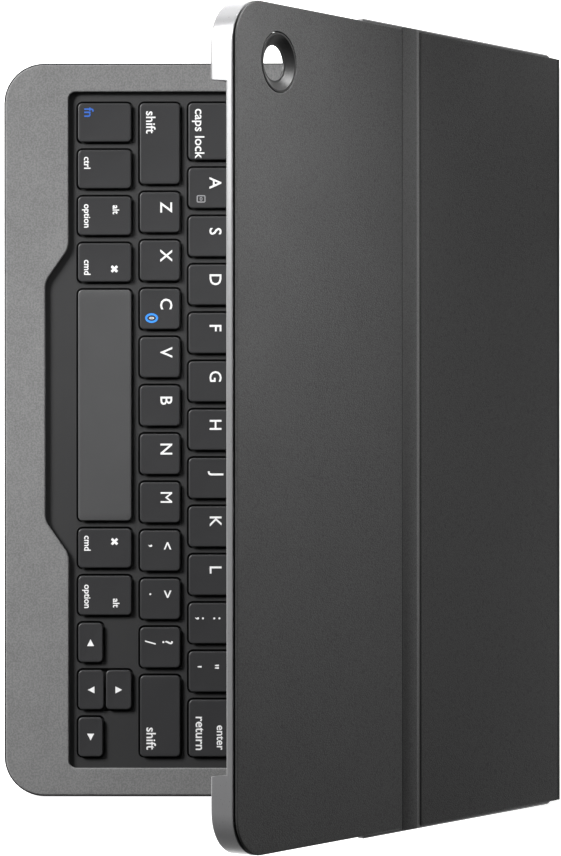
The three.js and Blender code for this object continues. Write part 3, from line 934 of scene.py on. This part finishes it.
def make_caps():
    boxes = [span(node) for node in FRONT_ROWS]
    for node, box, cap in zip(FRONT_ROWS, boxes, caps(boxes)):
        name = node[len("key_"):]
        marks = [place_mark(mark, box) for mark in MARKS.get(name, [])]
        mesh = weld([(cap, 0)] + marks, f"cap_{name}")
        # The space bar gets the lighter key plastic: a painted highlight.
        body_finish = space_highlight_plastic if name == "space" else key_plastic
        show(f"cap_{name}", mesh, f"{node}_body", "key_plastic", body_finish, *PRINTS, replaces=[node])


make_caps()
print("caps:", len(FRONT_ROWS), "separate")

# %% [markdown]
# ## Rows on a web
#
# The three rear rows are moulded as one piece each. Where each cap stands is read back from the frame's
# own solid: its top faces lie at the caps' height, so the gaps between them show where one cap ends.


# %% Web rows
def cap_spans(node):
    """The left and right edge of each cap, from the vertices at cap height."""
    top = span(node)[1].z
    vertices = frame["nodes"][node].data.vertices
    xs = sorted({round(v.co.x / MM, 2) for v in vertices if abs(v.co.z / MM - top) < 0.01})
    return list(zip(xs[::2], xs[1::2]))


def row_marks(labels, box):
    low, high = box
    if len(labels) == 2:
        upper, lower = [word(t, LETTER * 0.8, "white", "letter", 5.2, y) for t, y in zip(labels, (4.0, 9.9))]
        return [place_mark(upper, box), place_mark(lower, box)]
    label = labels[0]
    if high.y - low.y < 10:
        return [place_mark(word(label, SMALL * 0.95, "white", "middle", 0, 0), box)]
    if len(label) > 1:
        edge = "L" if low.x < 0 else "R"
        return [place_mark(word(label, WORD * 0.9, "white", edge, 1.8, 2.6), box)]
    return [place_mark(letter(label), box)]


WEB_THICK = 0.3
WEB_FINISH = 1 + len(PRINTS)  # the bezel's plastic comes after the cap's and the inks

def make_web_rows():
    for node in WEB_ROWS:
        low, high = span(node)
        boxes = [(Vector((a, low.y, low.z)), Vector((b, high.y, high.z))) for a, b in cap_spans(node)]
        parts = [(cap, 0) for cap in caps(boxes)]
        for box, labels in zip(boxes, ROW_MARKS[node]):
            parts += row_marks(labels, box)
        web = Shell()
        plan = rounded_box(low, high, 1.2)
        web.sheet([at(plan, low.z), at(plan, low.z + WEB_THICK)])
        parts.append((web.plain("web"), WEB_FINISH))
        name = node[len("key_"):]
        mesh = weld(parts, f"caps_{name}")
        show(f"caps_{name}", mesh, f"{node}_body", "key_plastic", key_plastic, *PRINTS, bezel_plastic,
             replaces=[node])
        print(name, len(boxes), "caps")


make_web_rows()

# %% [markdown]
# ## Cover leather
#
# The cover has two stiff panels with a narrow strip between them. Leather over a board has a full, rolled
# edge, so each panel is a sheet with a round top edge. The upper panel has large corner radii and a window
# for the camera.

# %% Cover panels
low_panel, low_panel_high = span("lower_cover_skin", COVER)
up_low, up_high = span("upper_cover_skin", COVER)
ring_low, ring_high = span("camera_ring", COVER)
lens = ((ring_low.x + ring_high.x) / 2, (ring_low.y + ring_high.y) / 2)
RING_RADIUS = (ring_high.x - ring_low.x) / 2
ring_points = [COVER.inverted() @ (v.co / MM) for v in frame["nodes"]["camera_ring"].data.vertices]
LENS_RADIUS = min(math.dist(p[:2], lens) for p in ring_points)
COVER_CORNER = 12.5
LEATHER_ROLL = 0.42


def upper_plan(inset):
    r = COVER_CORNER - inset
    x0, y0, x1, y1 = up_low.x + inset, up_low.y + inset, up_high.x - inset, up_high.y - inset
    return outline([(x0, y0, r), (x1, y0, r), (x1, y1, 0), (x0, y1, 0)], 16)


def make_upper_leather():
    shell = Shell()
    edge = RING_RADIUS + 0.25

    def window(out):
        return circle(lens, edge + out)

    hole = [at(window(0.1), up_low.z), at(window(0), up_low.z + 0.1)] + roll(window, up_high.z, 0.2, 3)
    shell.sheet(edged_sheet(upper_plan, up_low.z, up_high.z, LEATHER_ROLL), hole)
    return shell.mesh("upper_leather", COVER)


def make_lower_leather():
    shell = Shell()

    def plan(inset):
        return rounded_box(low_panel, low_panel_high, 0.6, inset, 3)

    shell.sheet(edged_sheet(plan, low_panel.z, low_panel_high.z, LEATHER_ROLL))
    return shell.mesh("lower_leather", COVER)


show("upper_leather", make_upper_leather(), "tray_panel", "leather", leather,
     replaces=["upper_cover_skin"])
# The lower panel wears the darker leather copy, which paints shade on it.
show("lower_leather", make_lower_leather(), "lower_panel", "leather", panel_painted_shade_leather,
     replaces=["lower_cover_skin"])

# %% [markdown]
# ## Fold strip and creases
#
# The strip between the panels is the same leather with nothing behind it. Its section is drawn once and
# run along X with its ends rounded over. In each crease lies a thin web of leather that spans the gap
# between the two pieces it joins.


# %% Bars with a drawn section
def bar(section, reach, space, name, ease):
    """A section of (y, z) points run along X, with its end faces smaller by the share ease."""
    middle = Vector((sum(p[0] for p in section), sum(p[1] for p in section))) / len(section)
    shell = Shell()
    stations = [(-reach, 1 - ease), (-reach + 0.15, 1.0), (reach - 0.15, 1.0), (reach, 1 - ease)]
    rings = []
    for x, size in stations:
        shrunk = [middle + (Vector(p) - middle) * (size if abs(x) == reach else 1.0) for p in section]
        rings.append([(x, p.x, p.y) for p in shrunk])
    first, last = shell.loft(rings)
    shell.cap(first)
    shell.cap(last)
    return shell.mesh(name, space)


def rounded_section(corners):
    return [(p.x, p.y) for p in outline(corners, 4)]


strip_low, strip_high = span("fold_strip_skin", COVER)
CREASE = 1.9
web_top = strip_low.z + 0.3


def make_strip():
    section = rounded_section([
        (strip_low.y, strip_low.z, 0.05), (strip_high.y, strip_low.z, 0.05), (strip_high.y, web_top, 0.08),
        (strip_high.y - CREASE, web_top, 0.14), (strip_high.y - CREASE, strip_high.z, 0.26),
        (strip_low.y, strip_high.z, 0.28)])
    return bar(section, strip_high.x, COVER, "fold_strip_leather", 0.1)


def paint(mesh, space, test):
    """Gives the second material to the faces whose middle, in a space, passes a test."""
    back = space.inverted()
    for face in mesh.polygons:
        if test(back @ (face.center / MM)):
            face.material_index = 1
    return mesh


strip_mesh = make_strip()
show("fold_strip_leather", strip_mesh, "fold_strip", "leather", leather, crease_highlight_leather,
     replaces=["fold_strip_skin"])
# The thin step by the lower crease gets the lighter leather: a painted highlight.
paint(strip_mesh, COVER, lambda p: p.y > strip_high.y - CREASE - 0.1 and web_top - 0.1 < p.z < web_top + 0.06)


# %% Webs over the creases and hinges
def bent_web(name, path, thickness, reach, space):
    """A thin sheet along a (y, z) path, closed all round, that spans the gap between two bodies."""
    points = [Vector(p) for p in path]
    upper, lower = [], []
    for i, p in enumerate(points):
        along = (points[min(i + 1, len(points) - 1)] - points[max(i - 1, 0)]).normalized()
        across = Vector((-along.y, along.x)) * (thickness / 2)
        upper.append(p + across)
        lower.append(p - across)
    section = [(p.x, p.y) for p in upper + lower[::-1]]
    mesh = bar(section, reach, space, name, 0.0)
    # The web gets the near-black leather, which paints shade in the crease and hinge hollows.
    mesh.materials.append(crease_shade_leather)
    obj = bpy.data.objects.new(name, mesh)
    bpy.context.scene.collection.objects.link(obj)
    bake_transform(obj)
    return obj


def dip(y0, y1, z_ends, z_middle, steps=8):
    """A shallow hollow from y0 to y1."""
    path = []
    for k in range(steps + 1):
        t = k / steps
        path.append((y0 + (y1 - y0) * t, z_ends + (z_middle - z_ends) * math.sin(math.pi * t)))
    return path


skin_z = strip_low.z
lower_crease_y = (low_panel.y + strip_high.y) / 2
upper_crease_y = (strip_low.y + up_high.y) / 2
CREASE_WEB, HINGE_WEB = 0.16, 0.2  # thickness

def crease_web(name, y, reach):
    """The web in the crease at y, from reach behind its middle to reach in front of it."""
    path = dip(y + reach, y - reach, skin_z + 0.2, skin_z + 0.12)
    bent_web(name, path, CREASE_WEB, side - 0.3, COVER)

crease_web("lower_crease_web", lower_crease_y, 0.75)
crease_web("upper_crease_web", upper_crease_y, 0.6)

# %% [markdown]
# ## Spine
#
# The spine's leather turns round the hinge line at both ends. The stiff part rides on the spine, and a
# rolled web covers each hinge, so the case reads as one sheet from base to cover.

# %% Spine leather
spine_low, spine_high = span("spine_skin", SPINE)
spine_length = spine_run.length
R_HINGE = spine_high.y


def make_spine():
    inner = spine_low.y
    section = rounded_section([
        (inner, -0.2, 0.1), (R_HINGE, -0.2, 0.25), (R_HINGE, spine_length + 0.2, 0.25),
        (inner, spine_length + 0.2, 0.1)])
    return bar(section, side, SPINE, "spine_leather", 0.1)


def arc(centre, radius, start, end, steps=10):
    turns = [math.radians(start + (end - start) * k / steps) for k in range(steps + 1)]
    return [(centre[0] + radius * math.cos(a), centre[1] + radius * math.sin(a)) for a in turns]


# The spine wears the same darker leather copy: painted shade.
show("spine_leather", make_spine(), "spine", "leather", panel_painted_shade_leather, replaces=["spine_skin"])
web_radius = R_HINGE - 0.14
foot_y, foot_z = lower_hinge.y, lower_hinge.z
head_y, head_z = upper_hinge.y, upper_hinge.z
foot_path = [(foot_y - 1.4, foot_z - web_radius)] + arc((foot_y, foot_z), web_radius, 270, 360)
foot_path.append((foot_y + web_radius - 0.12, foot_z + 1.2))
bent_web("lower_hinge_web", foot_path, HINGE_WEB, side - 0.2, HERE)
lean = math.degrees(math.atan2(-spine_run.y, spine_run.z))
top_turn = math.degrees(open_angle)
head_path = [tuple((SPINE @ Vector((0, web_radius, spine_length - 1.2))).yz)]
head_path += arc((head_y, head_z), web_radius, lean, 90 - top_turn)
head_path.append(tuple((COVER @ Vector((0, -1.3, web_radius - 0.05))).yz))
bent_web("upper_hinge_web", head_path, HINGE_WEB, side - 0.2, HERE)

# %% [markdown]
# ## Tablet tray
#
# The tray is the shiniest part: a shallow dish with a low rim, and at each corner a clip that is deep
# enough to reach round the tablet and turn over its edge. Rim and clips are one moulding, so they are one
# shell here. Every ring has the same number of points round the tray; near a corner the rings drop to the
# clip's depth and step inwards under its lip, and along the sides they stay at rim height. A smooth step
# over two millimetres makes the clip's ends.

# %% Tray sizes
tray_low, tray_high = span("tray_shell", COVER)


def flat_levels(node, space, least_area=30.0):
    """Heights, in a space, at which a frame node has flat faces of some size."""
    back = space.inverted()
    area = {}
    for face in frame["nodes"][node].data.polygons:
        if abs((back.to_3x3() @ face.normal).z) > 0.999:
            height = round((back @ (face.center / MM)).z, 2)
            area[height] = area.get(height, 0.0) + face.area / MM**2
    return sorted(height for height, size in area.items() if size > least_area)


LIP_TOP, RIM_BOTTOM, FLOOR_BOTTOM, SHADOW_TOP, TRAY_TOP = flat_levels("tray_shell", COVER)[1:6]
print("tray levels:", LIP_TOP, RIM_BOTTOM, FLOOR_BOTTOM, SHADOW_TOP, TRAY_TOP)
FLANGE, FLANGE_END = 1.0, -119.5
CLIP, CLIP_BLEND = 24.0, 0.4
POCKET_X, POCKET_Y, LIP_REACH = 4.7, 8.0, 2.0
TRAY_RIM, SHADOW_INSET = 1.6, 1.2
narrow = tray_high.x - FLANGE


def step(value, low, high):
    t = min(1.0, max(0.0, (value - low) / (high - low)))
    return t * t * (3 - 2 * t)


def tray_points():
    """Stations round the tray: closely spaced where a corner turns or a clip starts, sparse elsewhere."""
    y0, y1 = tray_low.y, tray_high.y
    along_x = narrow - CLIP
    clip_low, clip_high = y0 + CLIP, y1 - CLIP
    ticks = [CLIP_BLEND * k / 5 for k in range(-5, 6)]
    stations = []

    def corner(sx, sy, first, last):
        stations.extend(("arc", sx, sy, first + (last - first) * k / 12) for k in range(13))

    def side_run(axis, sign, values):
        stations.extend((axis, sign, v) for v in values)

    corner(-1, -1, 180, 270)
    side_run("x", -1, [-along_x + t for t in ticks] + [0.0] + [along_x + t for t in ticks])
    corner(1, -1, 270, 360)
    ys = [clip_low + t for t in ticks] + [FLANGE_END - 0.8, FLANGE_END, FLANGE_END + 0.01, FLANGE_END + 0.8]
    ys += [(FLANGE_END + clip_high) / 2] + [clip_high + t for t in ticks]
    side_run("y", 1, ys)
    corner(1, 1, 0, 90)
    side_run("x", 1, [along_x - t for t in ticks] + [0.0] + [-along_x - t for t in ticks])
    corner(-1, 1, 90, 180)
    side_run("y", -1, ys[::-1])
    return stations


STATIONS = tray_points()
OUTER_R = {-1: COVER_CORNER + 0.4, 1: 4.0}


def tray_ring(inset_x, inset_y, z):
    """A ring round the tray. Each value is a number, or a function of how much a station is in a clip."""
    points = []
    for station in STATIONS:
        if station[0] == "arc":
            _, sx, sy, degrees = station
            clip = 1.0
        elif station[0] == "x":
            _, sy, x = station
            clip = step(abs(x), narrow - CLIP - CLIP_BLEND, narrow - CLIP + CLIP_BLEND)
        else:
            _, sx, y = station
            middle = (tray_low.y + tray_high.y) / 2
            half = (tray_high.y - tray_low.y) / 2 - CLIP
            clip = step(abs(y - middle), half - CLIP_BLEND, half + CLIP_BLEND)
        ix, iy, height = [v(clip) if callable(v) else v for v in (inset_x, inset_y, z)]
        if station[0] == "arc":
            wide = narrow + (FLANGE if sy > 0 else 0)
            r = max(0.8, OUTER_R[sy] - min(ix, iy))
            cx = sx * (wide - ix - r)
            cy = (tray_high.y - iy - r) if sy > 0 else (tray_low.y + iy + r)
            a = math.radians(degrees)
            points.append((cx + r * math.cos(a), cy + r * math.sin(a), height))
        elif station[0] == "x":
            points.append((x, tray_high.y - iy if sy > 0 else tray_low.y + iy, height))
        else:
            wide = narrow + FLANGE * step(y, FLANGE_END - 0.4, FLANGE_END + 0.4)
            points.append((sx * (wide - ix), y, height))
    return points


def mix(rim, clip):
    return lambda t: rim + (clip - rim) * t


# %% Tray mesh
def inner_ring(rim, past_wall, z):
    """A ring inside the tray: at rim from its edge along the sides, and past the pocket's wall in a clip."""
    return tray_ring(mix(rim, POCKET_X + past_wall), mix(rim, POCKET_Y + past_wall), z)

def make_tray():
    shell = Shell()
    bottom = mix(RIM_BOTTOM, tray_low.z)
    edge = [(TRAY_RIM, TRAY_TOP), (1.35, TRAY_TOP), (SHADOW_INSET, TRAY_TOP - 0.12),
            (SHADOW_INSET, SHADOW_TOP), (0.5, SHADOW_TOP), (0.2, SHADOW_TOP), (0.05, SHADOW_TOP - 0.06),
            (0, SHADOW_TOP - 0.2), (0, SHADOW_TOP - 0.4)]
    rings = [tray_ring(inset, inset, z) for inset, z in edge]
    soft = 0.5
    rings.append(tray_ring(0, 0, lambda t: bottom(t) + soft + 0.3))
    for k in range(6):
        a = math.pi / 2 * k / 5
        inset = soft * (1 - math.cos(a))
        drop = soft * (1 - math.sin(a))
        rings.append(tray_ring(inset, inset, lambda t, d=drop: bottom(t) + d))
    rings += [
        inner_ring(TRAY_RIM - 0.2, LIP_REACH - 0.2, bottom),
        inner_ring(TRAY_RIM, LIP_REACH, lambda t: bottom(t) + 0.2),
        inner_ring(TRAY_RIM, LIP_REACH, mix(RIM_BOTTOM + 0.5, LIP_TOP)),
        inner_ring(TRAY_RIM, 0, mix(RIM_BOTTOM + 0.6, LIP_TOP + 0.01)),
        inner_ring(TRAY_RIM, 0, FLOOR_BOTTOM - 0.2),
        inner_ring(TRAY_RIM + 0.2, 0.2, FLOOR_BOTTOM),
    ]
    first, last = shell.loft(rings)
    window = circle(lens, RING_RADIUS + 0.3)
    top, under = shell.loft([at(window, TRAY_TOP), at(window, FLOOR_BOTTOM)])
    shell.cap(first, top)
    shell.cap(last, under)

    border = 2
    r = COVER_CORNER - border
    x0, y0, x1, y1 = up_low.x + border, up_low.y + border, up_high.x - border, up_high.y - 0.3
    bond = outline([(x0, y0, r), (x1, y0, r), (x1, y1, 0), (x0, y1, 0)], 8)
    heights = (TRAY_TOP - 0.02, tray_high.z)
    shell.sheet([at(bond, z) for z in heights], [at(window, z) for z in heights])
    return shell.mesh("tablet_tray", COVER)


tray_mesh = make_tray()
show("tablet_tray", tray_mesh, "tray_panel", "tray_plastic", tray_plastic, shell_plastic,
     replaces=["tray_shell"])
# The tray's top under the leather and the wall of its camera window get the black plastic: painted shade on
# the silver tray.
paint(tray_mesh, COVER, lambda p: p.z > TRAY_TOP - 0.2 or math.dist(p.xy, lens) < RING_RADIUS + 0.4)
PAINTED_SHADE_BANDS = 4  # the first bands of faces, which line the gap under the leather
for face in tray_mesh.polygons[:PAINTED_SHADE_BANDS * len(STATIONS)]:
    face.material_index = 1

# %% [markdown]
# ## Camera window
#
# A ring of satin plastic lines the camera hole. It is turned: a flat lip level with the leather, a funnel,
# and a small step at the bottom that frames the lens.


# %% Camera ring
def make_camera_ring():
    shell = Shell()
    top, foot = ring_high.z, ring_low.z
    r = RING_RADIUS
    inner = LENS_RADIUS
    lip = [(r, foot), (r, top - 0.15), (r - 0.05, top - 0.04), (r - 0.15, top), (r - 0.5, top),
           (r - 0.62, top - 0.05), (r - 0.7, top - 0.16)]
    seat = [(inner + 0.75, foot + 0.62), (inner + 0.6, foot + 0.55), (inner + 0.1, foot + 0.5),
            (inner, foot + 0.42), (inner, foot)]
    loops = [shell.ring(at(circle(lens, radius), z)) for radius, z in lip + seat]
    for a, b in zip(loops, loops[1:] + loops[:1]):
        shell.wall(a, b)
    return shell.mesh("camera_funnel", COVER, 25)


show("camera_funnel", make_camera_ring(), "tray_panel", "black_plastic", satin_plastic,
     replaces=["camera_ring"])

# %% [markdown]
# ## Switch and port
#
# On the right-hand edge a small slider turns the keyboard on, with ribs for a fingernail, and a charging
# port shows its tongue and contacts. Ribs and contacts repeat at a fixed pitch, so one Geometry Nodes tree
# makes both: a block on each point of a line.


# %% A tree for blocks in a line
def line_tree():
    tree = bpy.data.node_groups.new("blocks_in_line", "GeometryNodeTree")
    tree.is_modifier = True
    tree.interface.new_socket("Geometry", in_out="INPUT", socket_type="NodeSocketGeometry")
    tree.interface.new_socket("Count", in_out="INPUT", socket_type="NodeSocketInt").default_value = 5
    tree.interface.new_socket("Start", in_out="INPUT", socket_type="NodeSocketVector")
    tree.interface.new_socket("Pitch", in_out="INPUT", socket_type="NodeSocketVector")
    tree.interface.new_socket("Size", in_out="INPUT", socket_type="NodeSocketVector")
    tree.interface.new_socket("Material", in_out="INPUT", socket_type="NodeSocketMaterial")
    tree.interface.new_socket("Geometry", in_out="OUTPUT", socket_type="NodeSocketGeometry")
    g = Graph(tree)
    given = g.node("NodeGroupInput")
    line = g.node("GeometryNodeMeshLine", {"mode": "OFFSET"}, Count=given.out("Count"),
                  Start_Location=given.out("Start"), Offset=given.out("Pitch"))
    block = g.node("GeometryNodeMeshCube", {}, given.out("Size"))
    rows = g.node("GeometryNodeInstanceOnPoints", {}, Points=line, Instance=block)
    real = g.node("GeometryNodeRealizeInstances", {}, Geometry=rows)
    done = g.node("GeometryNodeSetMaterial", {}, Geometry=real, Material=given.out("Material"))
    g.node("NodeGroupOutput", {}, Geometry=done)
    return tree


LINE_TREE = line_tree()
LINE_SOCKETS = sockets(LINE_TREE)


def blocks(count, start, pitch, size, material):
    """A plain mesh of equal blocks at a fixed pitch, in millimetres."""
    obj = bpy.data.objects.new("line", bpy.data.meshes.new("line"))
    bpy.context.scene.collection.objects.link(obj)
    modifier = obj.modifiers.new("line", "NODES")
    modifier.node_group = LINE_TREE
    values = {"Count": count, "Start": start, "Pitch": pitch, "Size": size, "Material": material}
    for name, value in values.items():
        modifier[LINE_SOCKETS[name]] = value
    bpy.context.view_layer.update()
    mesh = bpy.data.meshes.new_from_object(obj.evaluated_get(bpy.context.evaluated_depsgraph_get()))
    bpy.data.objects.remove(obj)
    return mesh


# %% Switch and port meshes
port_low, port_high = span("charge_port")


def slot_bar(y0, z0, y1, z1, x0, x1, radius, soft=0.15):
    """A bar along X with a rounded section and a softened outer end."""
    shell = Shell()

    def loop(x, inset):
        return [(x, p.x, p.y) for p in rounded_box((y0, z0), (y1, z1), radius, inset, 4)]

    a, b = shell.loft([loop(x0, 0), loop(x1 - soft, 0), loop(x1 - soft * 0.3, soft * 0.3), loop(x1, soft)])
    shell.cap(a)
    shell.cap(b)
    return shell.plain("bar")


def make_switch():
    low, high = switch_low, switch_high
    flange = 1.5
    tab_z, tab_top = low.z + 0.4, low.z + 2.1
    y0, y1 = low.y + flange, high.y - flange
    tab = slot_bar(y0, tab_z, y1, tab_top, low.x + 1, high.x - 0.15, 0.5)
    plate = slot_bar(low.y, low.z, high.y, high.z, low.x, low.x + flange, 0.3)
    ribs = blocks(5, (high.x - 0.15, y0 + 1.1, (tab_z + tab_top) / 2), (0, (y1 - y0 - 2.2) / 4, 0),
                  (0.28, 0.3, tab_top - tab_z - 0.5), satin_plastic)
    return weld([(tab, 0), (plate, 0), (ribs, 0)], "slide_switch")

def make_port():
    low, high = port_low, port_high
    wall = 0.35
    shell = Shell()

    def loop(x, inset):
        return [(x, p.x, p.y) for p in rounded_box((low.y, low.z), (high.y, high.z), 0.9, inset, 5)]

    first, last = shell.loft([loop(low.x, 0), loop(high.x - 0.1, 0), loop(high.x, 0.08),
                              loop(high.x, wall - 0.08), loop(high.x - 0.1, wall), loop(low.x + 1.8, wall)])
    shell.cap(first)
    shell.cap(last)
    can = shell.plain("can")
    mid_y, mid_z = (low.y + high.y) / 2, (low.z + high.z) / 2
    tongue = slot_bar(mid_y - 2.0, mid_z - 0.1, mid_y + 2.0, mid_z + 0.35, low.x + 1.7, high.x - 1.0,
                      0.15, 0.1)
    pins = blocks(5, (high.x - 2.6, mid_y - 1.3, mid_z - 0.12), (0, 0.65, 0), (2.8, 0.32, 0.08), steel)
    return weld([(can, 0), (tongue, 1), (pins, 0)], "charging_port")

show("slide_switch", make_switch(), "switch", "black_plastic", satin_plastic, replaces=["power_switch"])
show("charging_port", make_port(), "base", "steel", steel, satin_plastic, replaces=["charge_port"])

# %% [markdown]
# The leather's side wall gets its two windows now that the switch and port are in place: the switch's is
# longer than its tab by the slider's travel.


# %% Side windows
def box_cutter(y0, y1, z0, z1, radius):
    shell = Shell()
    loop = rounded_box((y0, z0), (y1, z1), radius, 0, 5)
    a, b = shell.loft([[(x, p.x, p.y) for p in loop] for x in (side - 2.5, side + 3)])
    shell.cap(a)
    shell.cap(b)
    cutter = bpy.data.objects.new("window", shell.mesh("window"))
    bpy.context.scene.collection.objects.link(cutter)
    return cutter


carve(base_leather, [
    box_cutter(switch_low.y + 1.3, switch_high.y - 1.3 + TRAVEL, switch_low.z + 0.2, switch_low.z + 2.3, 0.7),
    box_cutter(port_low.y - 0.1, port_high.y + 0.1, port_low.z - 0.1, port_high.z + 0.1, 1.0)])
print("base leather faces after its windows:", len(base_leather.data.polygons))

# %% [markdown]
# ## Parts that keep their frame shape
#
# What lies inside the base, and the plain layers of the cover, are already the right shape. They get a
# finish each, because they show when the case is looked at closely from the side.

# %% Finishes for frame nodes
KEPT = {
    "base_shell": shell_plastic, "support_plate": steel, "dome_sheet": silicone, "dock_magnet_bar": steel,
    "battery": foil, "circuit_board": laminate, "spine_board": felt, "lower_cover_board": stiffener,
    "tray_lining": felt,
}
for node, material in KEPT.items():
    mesh = frame["nodes"][node].data
    mesh.materials.clear()
    mesh.materials.append(material)

# %% [markdown]
# ## Light, floor and camera
#
# The case stands on white paper whose emission paints a pool of light round it: bright near it, dim further
# off, and glowing onto the case from below. The main softbox is in front of the typist's edge and to the
# left, so it lights the near bevel of each key and leaves a dark gap behind it. A small one beside it picks
# out the tray's edge. Two weak ones near the cover's left end let the leather darken towards the right, and a
# faint one fills in from the back. The camera looks down from a little over a metre, turned a quarter turn,
# with its view shifted slightly.


# %% Studio
def softbox(name, place, target, width, height, power, spread=180):
    lamp = bpy.data.lights.new(name, "AREA")
    lamp.spread = math.radians(spread)
    lamp.shape, lamp.size, lamp.size_y, lamp.energy = "RECTANGLE", width, height, power
    obj = bpy.data.objects.new(name, lamp)
    obj.location = place
    obj.rotation_euler = (Vector(target) - Vector(place)).to_track_quat("-Z", "Y").to_euler()
    bpy.context.scene.collection.objects.link(obj)


world = bpy.data.worlds.new("studio")
bpy.context.scene.world = world
world.use_nodes = True
world.node_tree.nodes["Background"].inputs["Color"].default_value = (1.0, 1.0, 1.0, 1.0)
world.node_tree.nodes["Background"].inputs["Strength"].default_value = 0.05
softbox("cover_glow", (-0.24, 0.12, 0.24), (0.56, -0.43, 0.34), 0.14, 0.14, 0.74, 90)
softbox("cover_left", (-0.25, 0.07, 0.28), (0.0, 0.03, 0.1), 0.14, 0.14, 0.17, 60)
softbox("front_left", (-0.5, -0.7, 0.5), (0, -0.03, 0), 0.3, 0.3, 19)
softbox("edge_light", (-0.25, -0.6, 0.4), (0, 0.0, 0.15), 0.3, 0.12, 1.2)
softbox("rear_high", (0, 0.8, 0.9), (0, 0.02, 0.08), 0.6, 0.4, 0.25)

floor_mesh = bpy.data.meshes.new("floor")
REACH, UNDER = 6.0, -0.0006
floor_mesh.from_pydata([(-REACH, -REACH, UNDER), (REACH, -REACH, UNDER), (REACH, REACH, UNDER),
                        (-REACH, REACH, UNDER)], [], [(0, 1, 2, 3)])
floor_object = bpy.data.objects.new("floor", floor_mesh)
bpy.context.scene.collection.objects.link(floor_object)
paper = Finish("paper_painted_light_pool")
away = paper.node("ShaderNodeVectorMath", {"operation": "LENGTH"}, paper.place).out("Value")
BRIGHT_TO, DIM_FROM = 0.185, 0.36  # metres from the middle of the paper
dim = away.smooth(BRIGHT_TO, DIM_FROM)
# The paper's emission is a painted pool of light, full within BRIGHT_TO and fading to a dim glow past
# DIM_FROM.
paper.set(Base_Color=grey(0.8), Roughness=0.9, Emission_Strength=1.0)
paper.set(Emission_Color=paper.blend(dim, grey(1.0), grey(0.06)))
floor_mesh.materials.append(paper.material)

camera_data = bpy.data.cameras.new("camera")
camera_data.sensor_width, camera_data.lens = 36.0, 134.57
camera_data.shift_x, camera_data.shift_y = 0.0162, 0.0152
camera_data.clip_start, camera_data.clip_end = 0.05, 20
camera = bpy.data.objects.new("camera", camera_data)
camera.location = (0.00382, 0.00793, 1.097)
camera.rotation_euler = (0.0, math.radians(0.639), math.radians(89.967))
bpy.context.scene.collection.objects.link(camera)
bpy.context.scene.camera = camera
bpy.context.scene.view_settings.view_transform = "Standard"
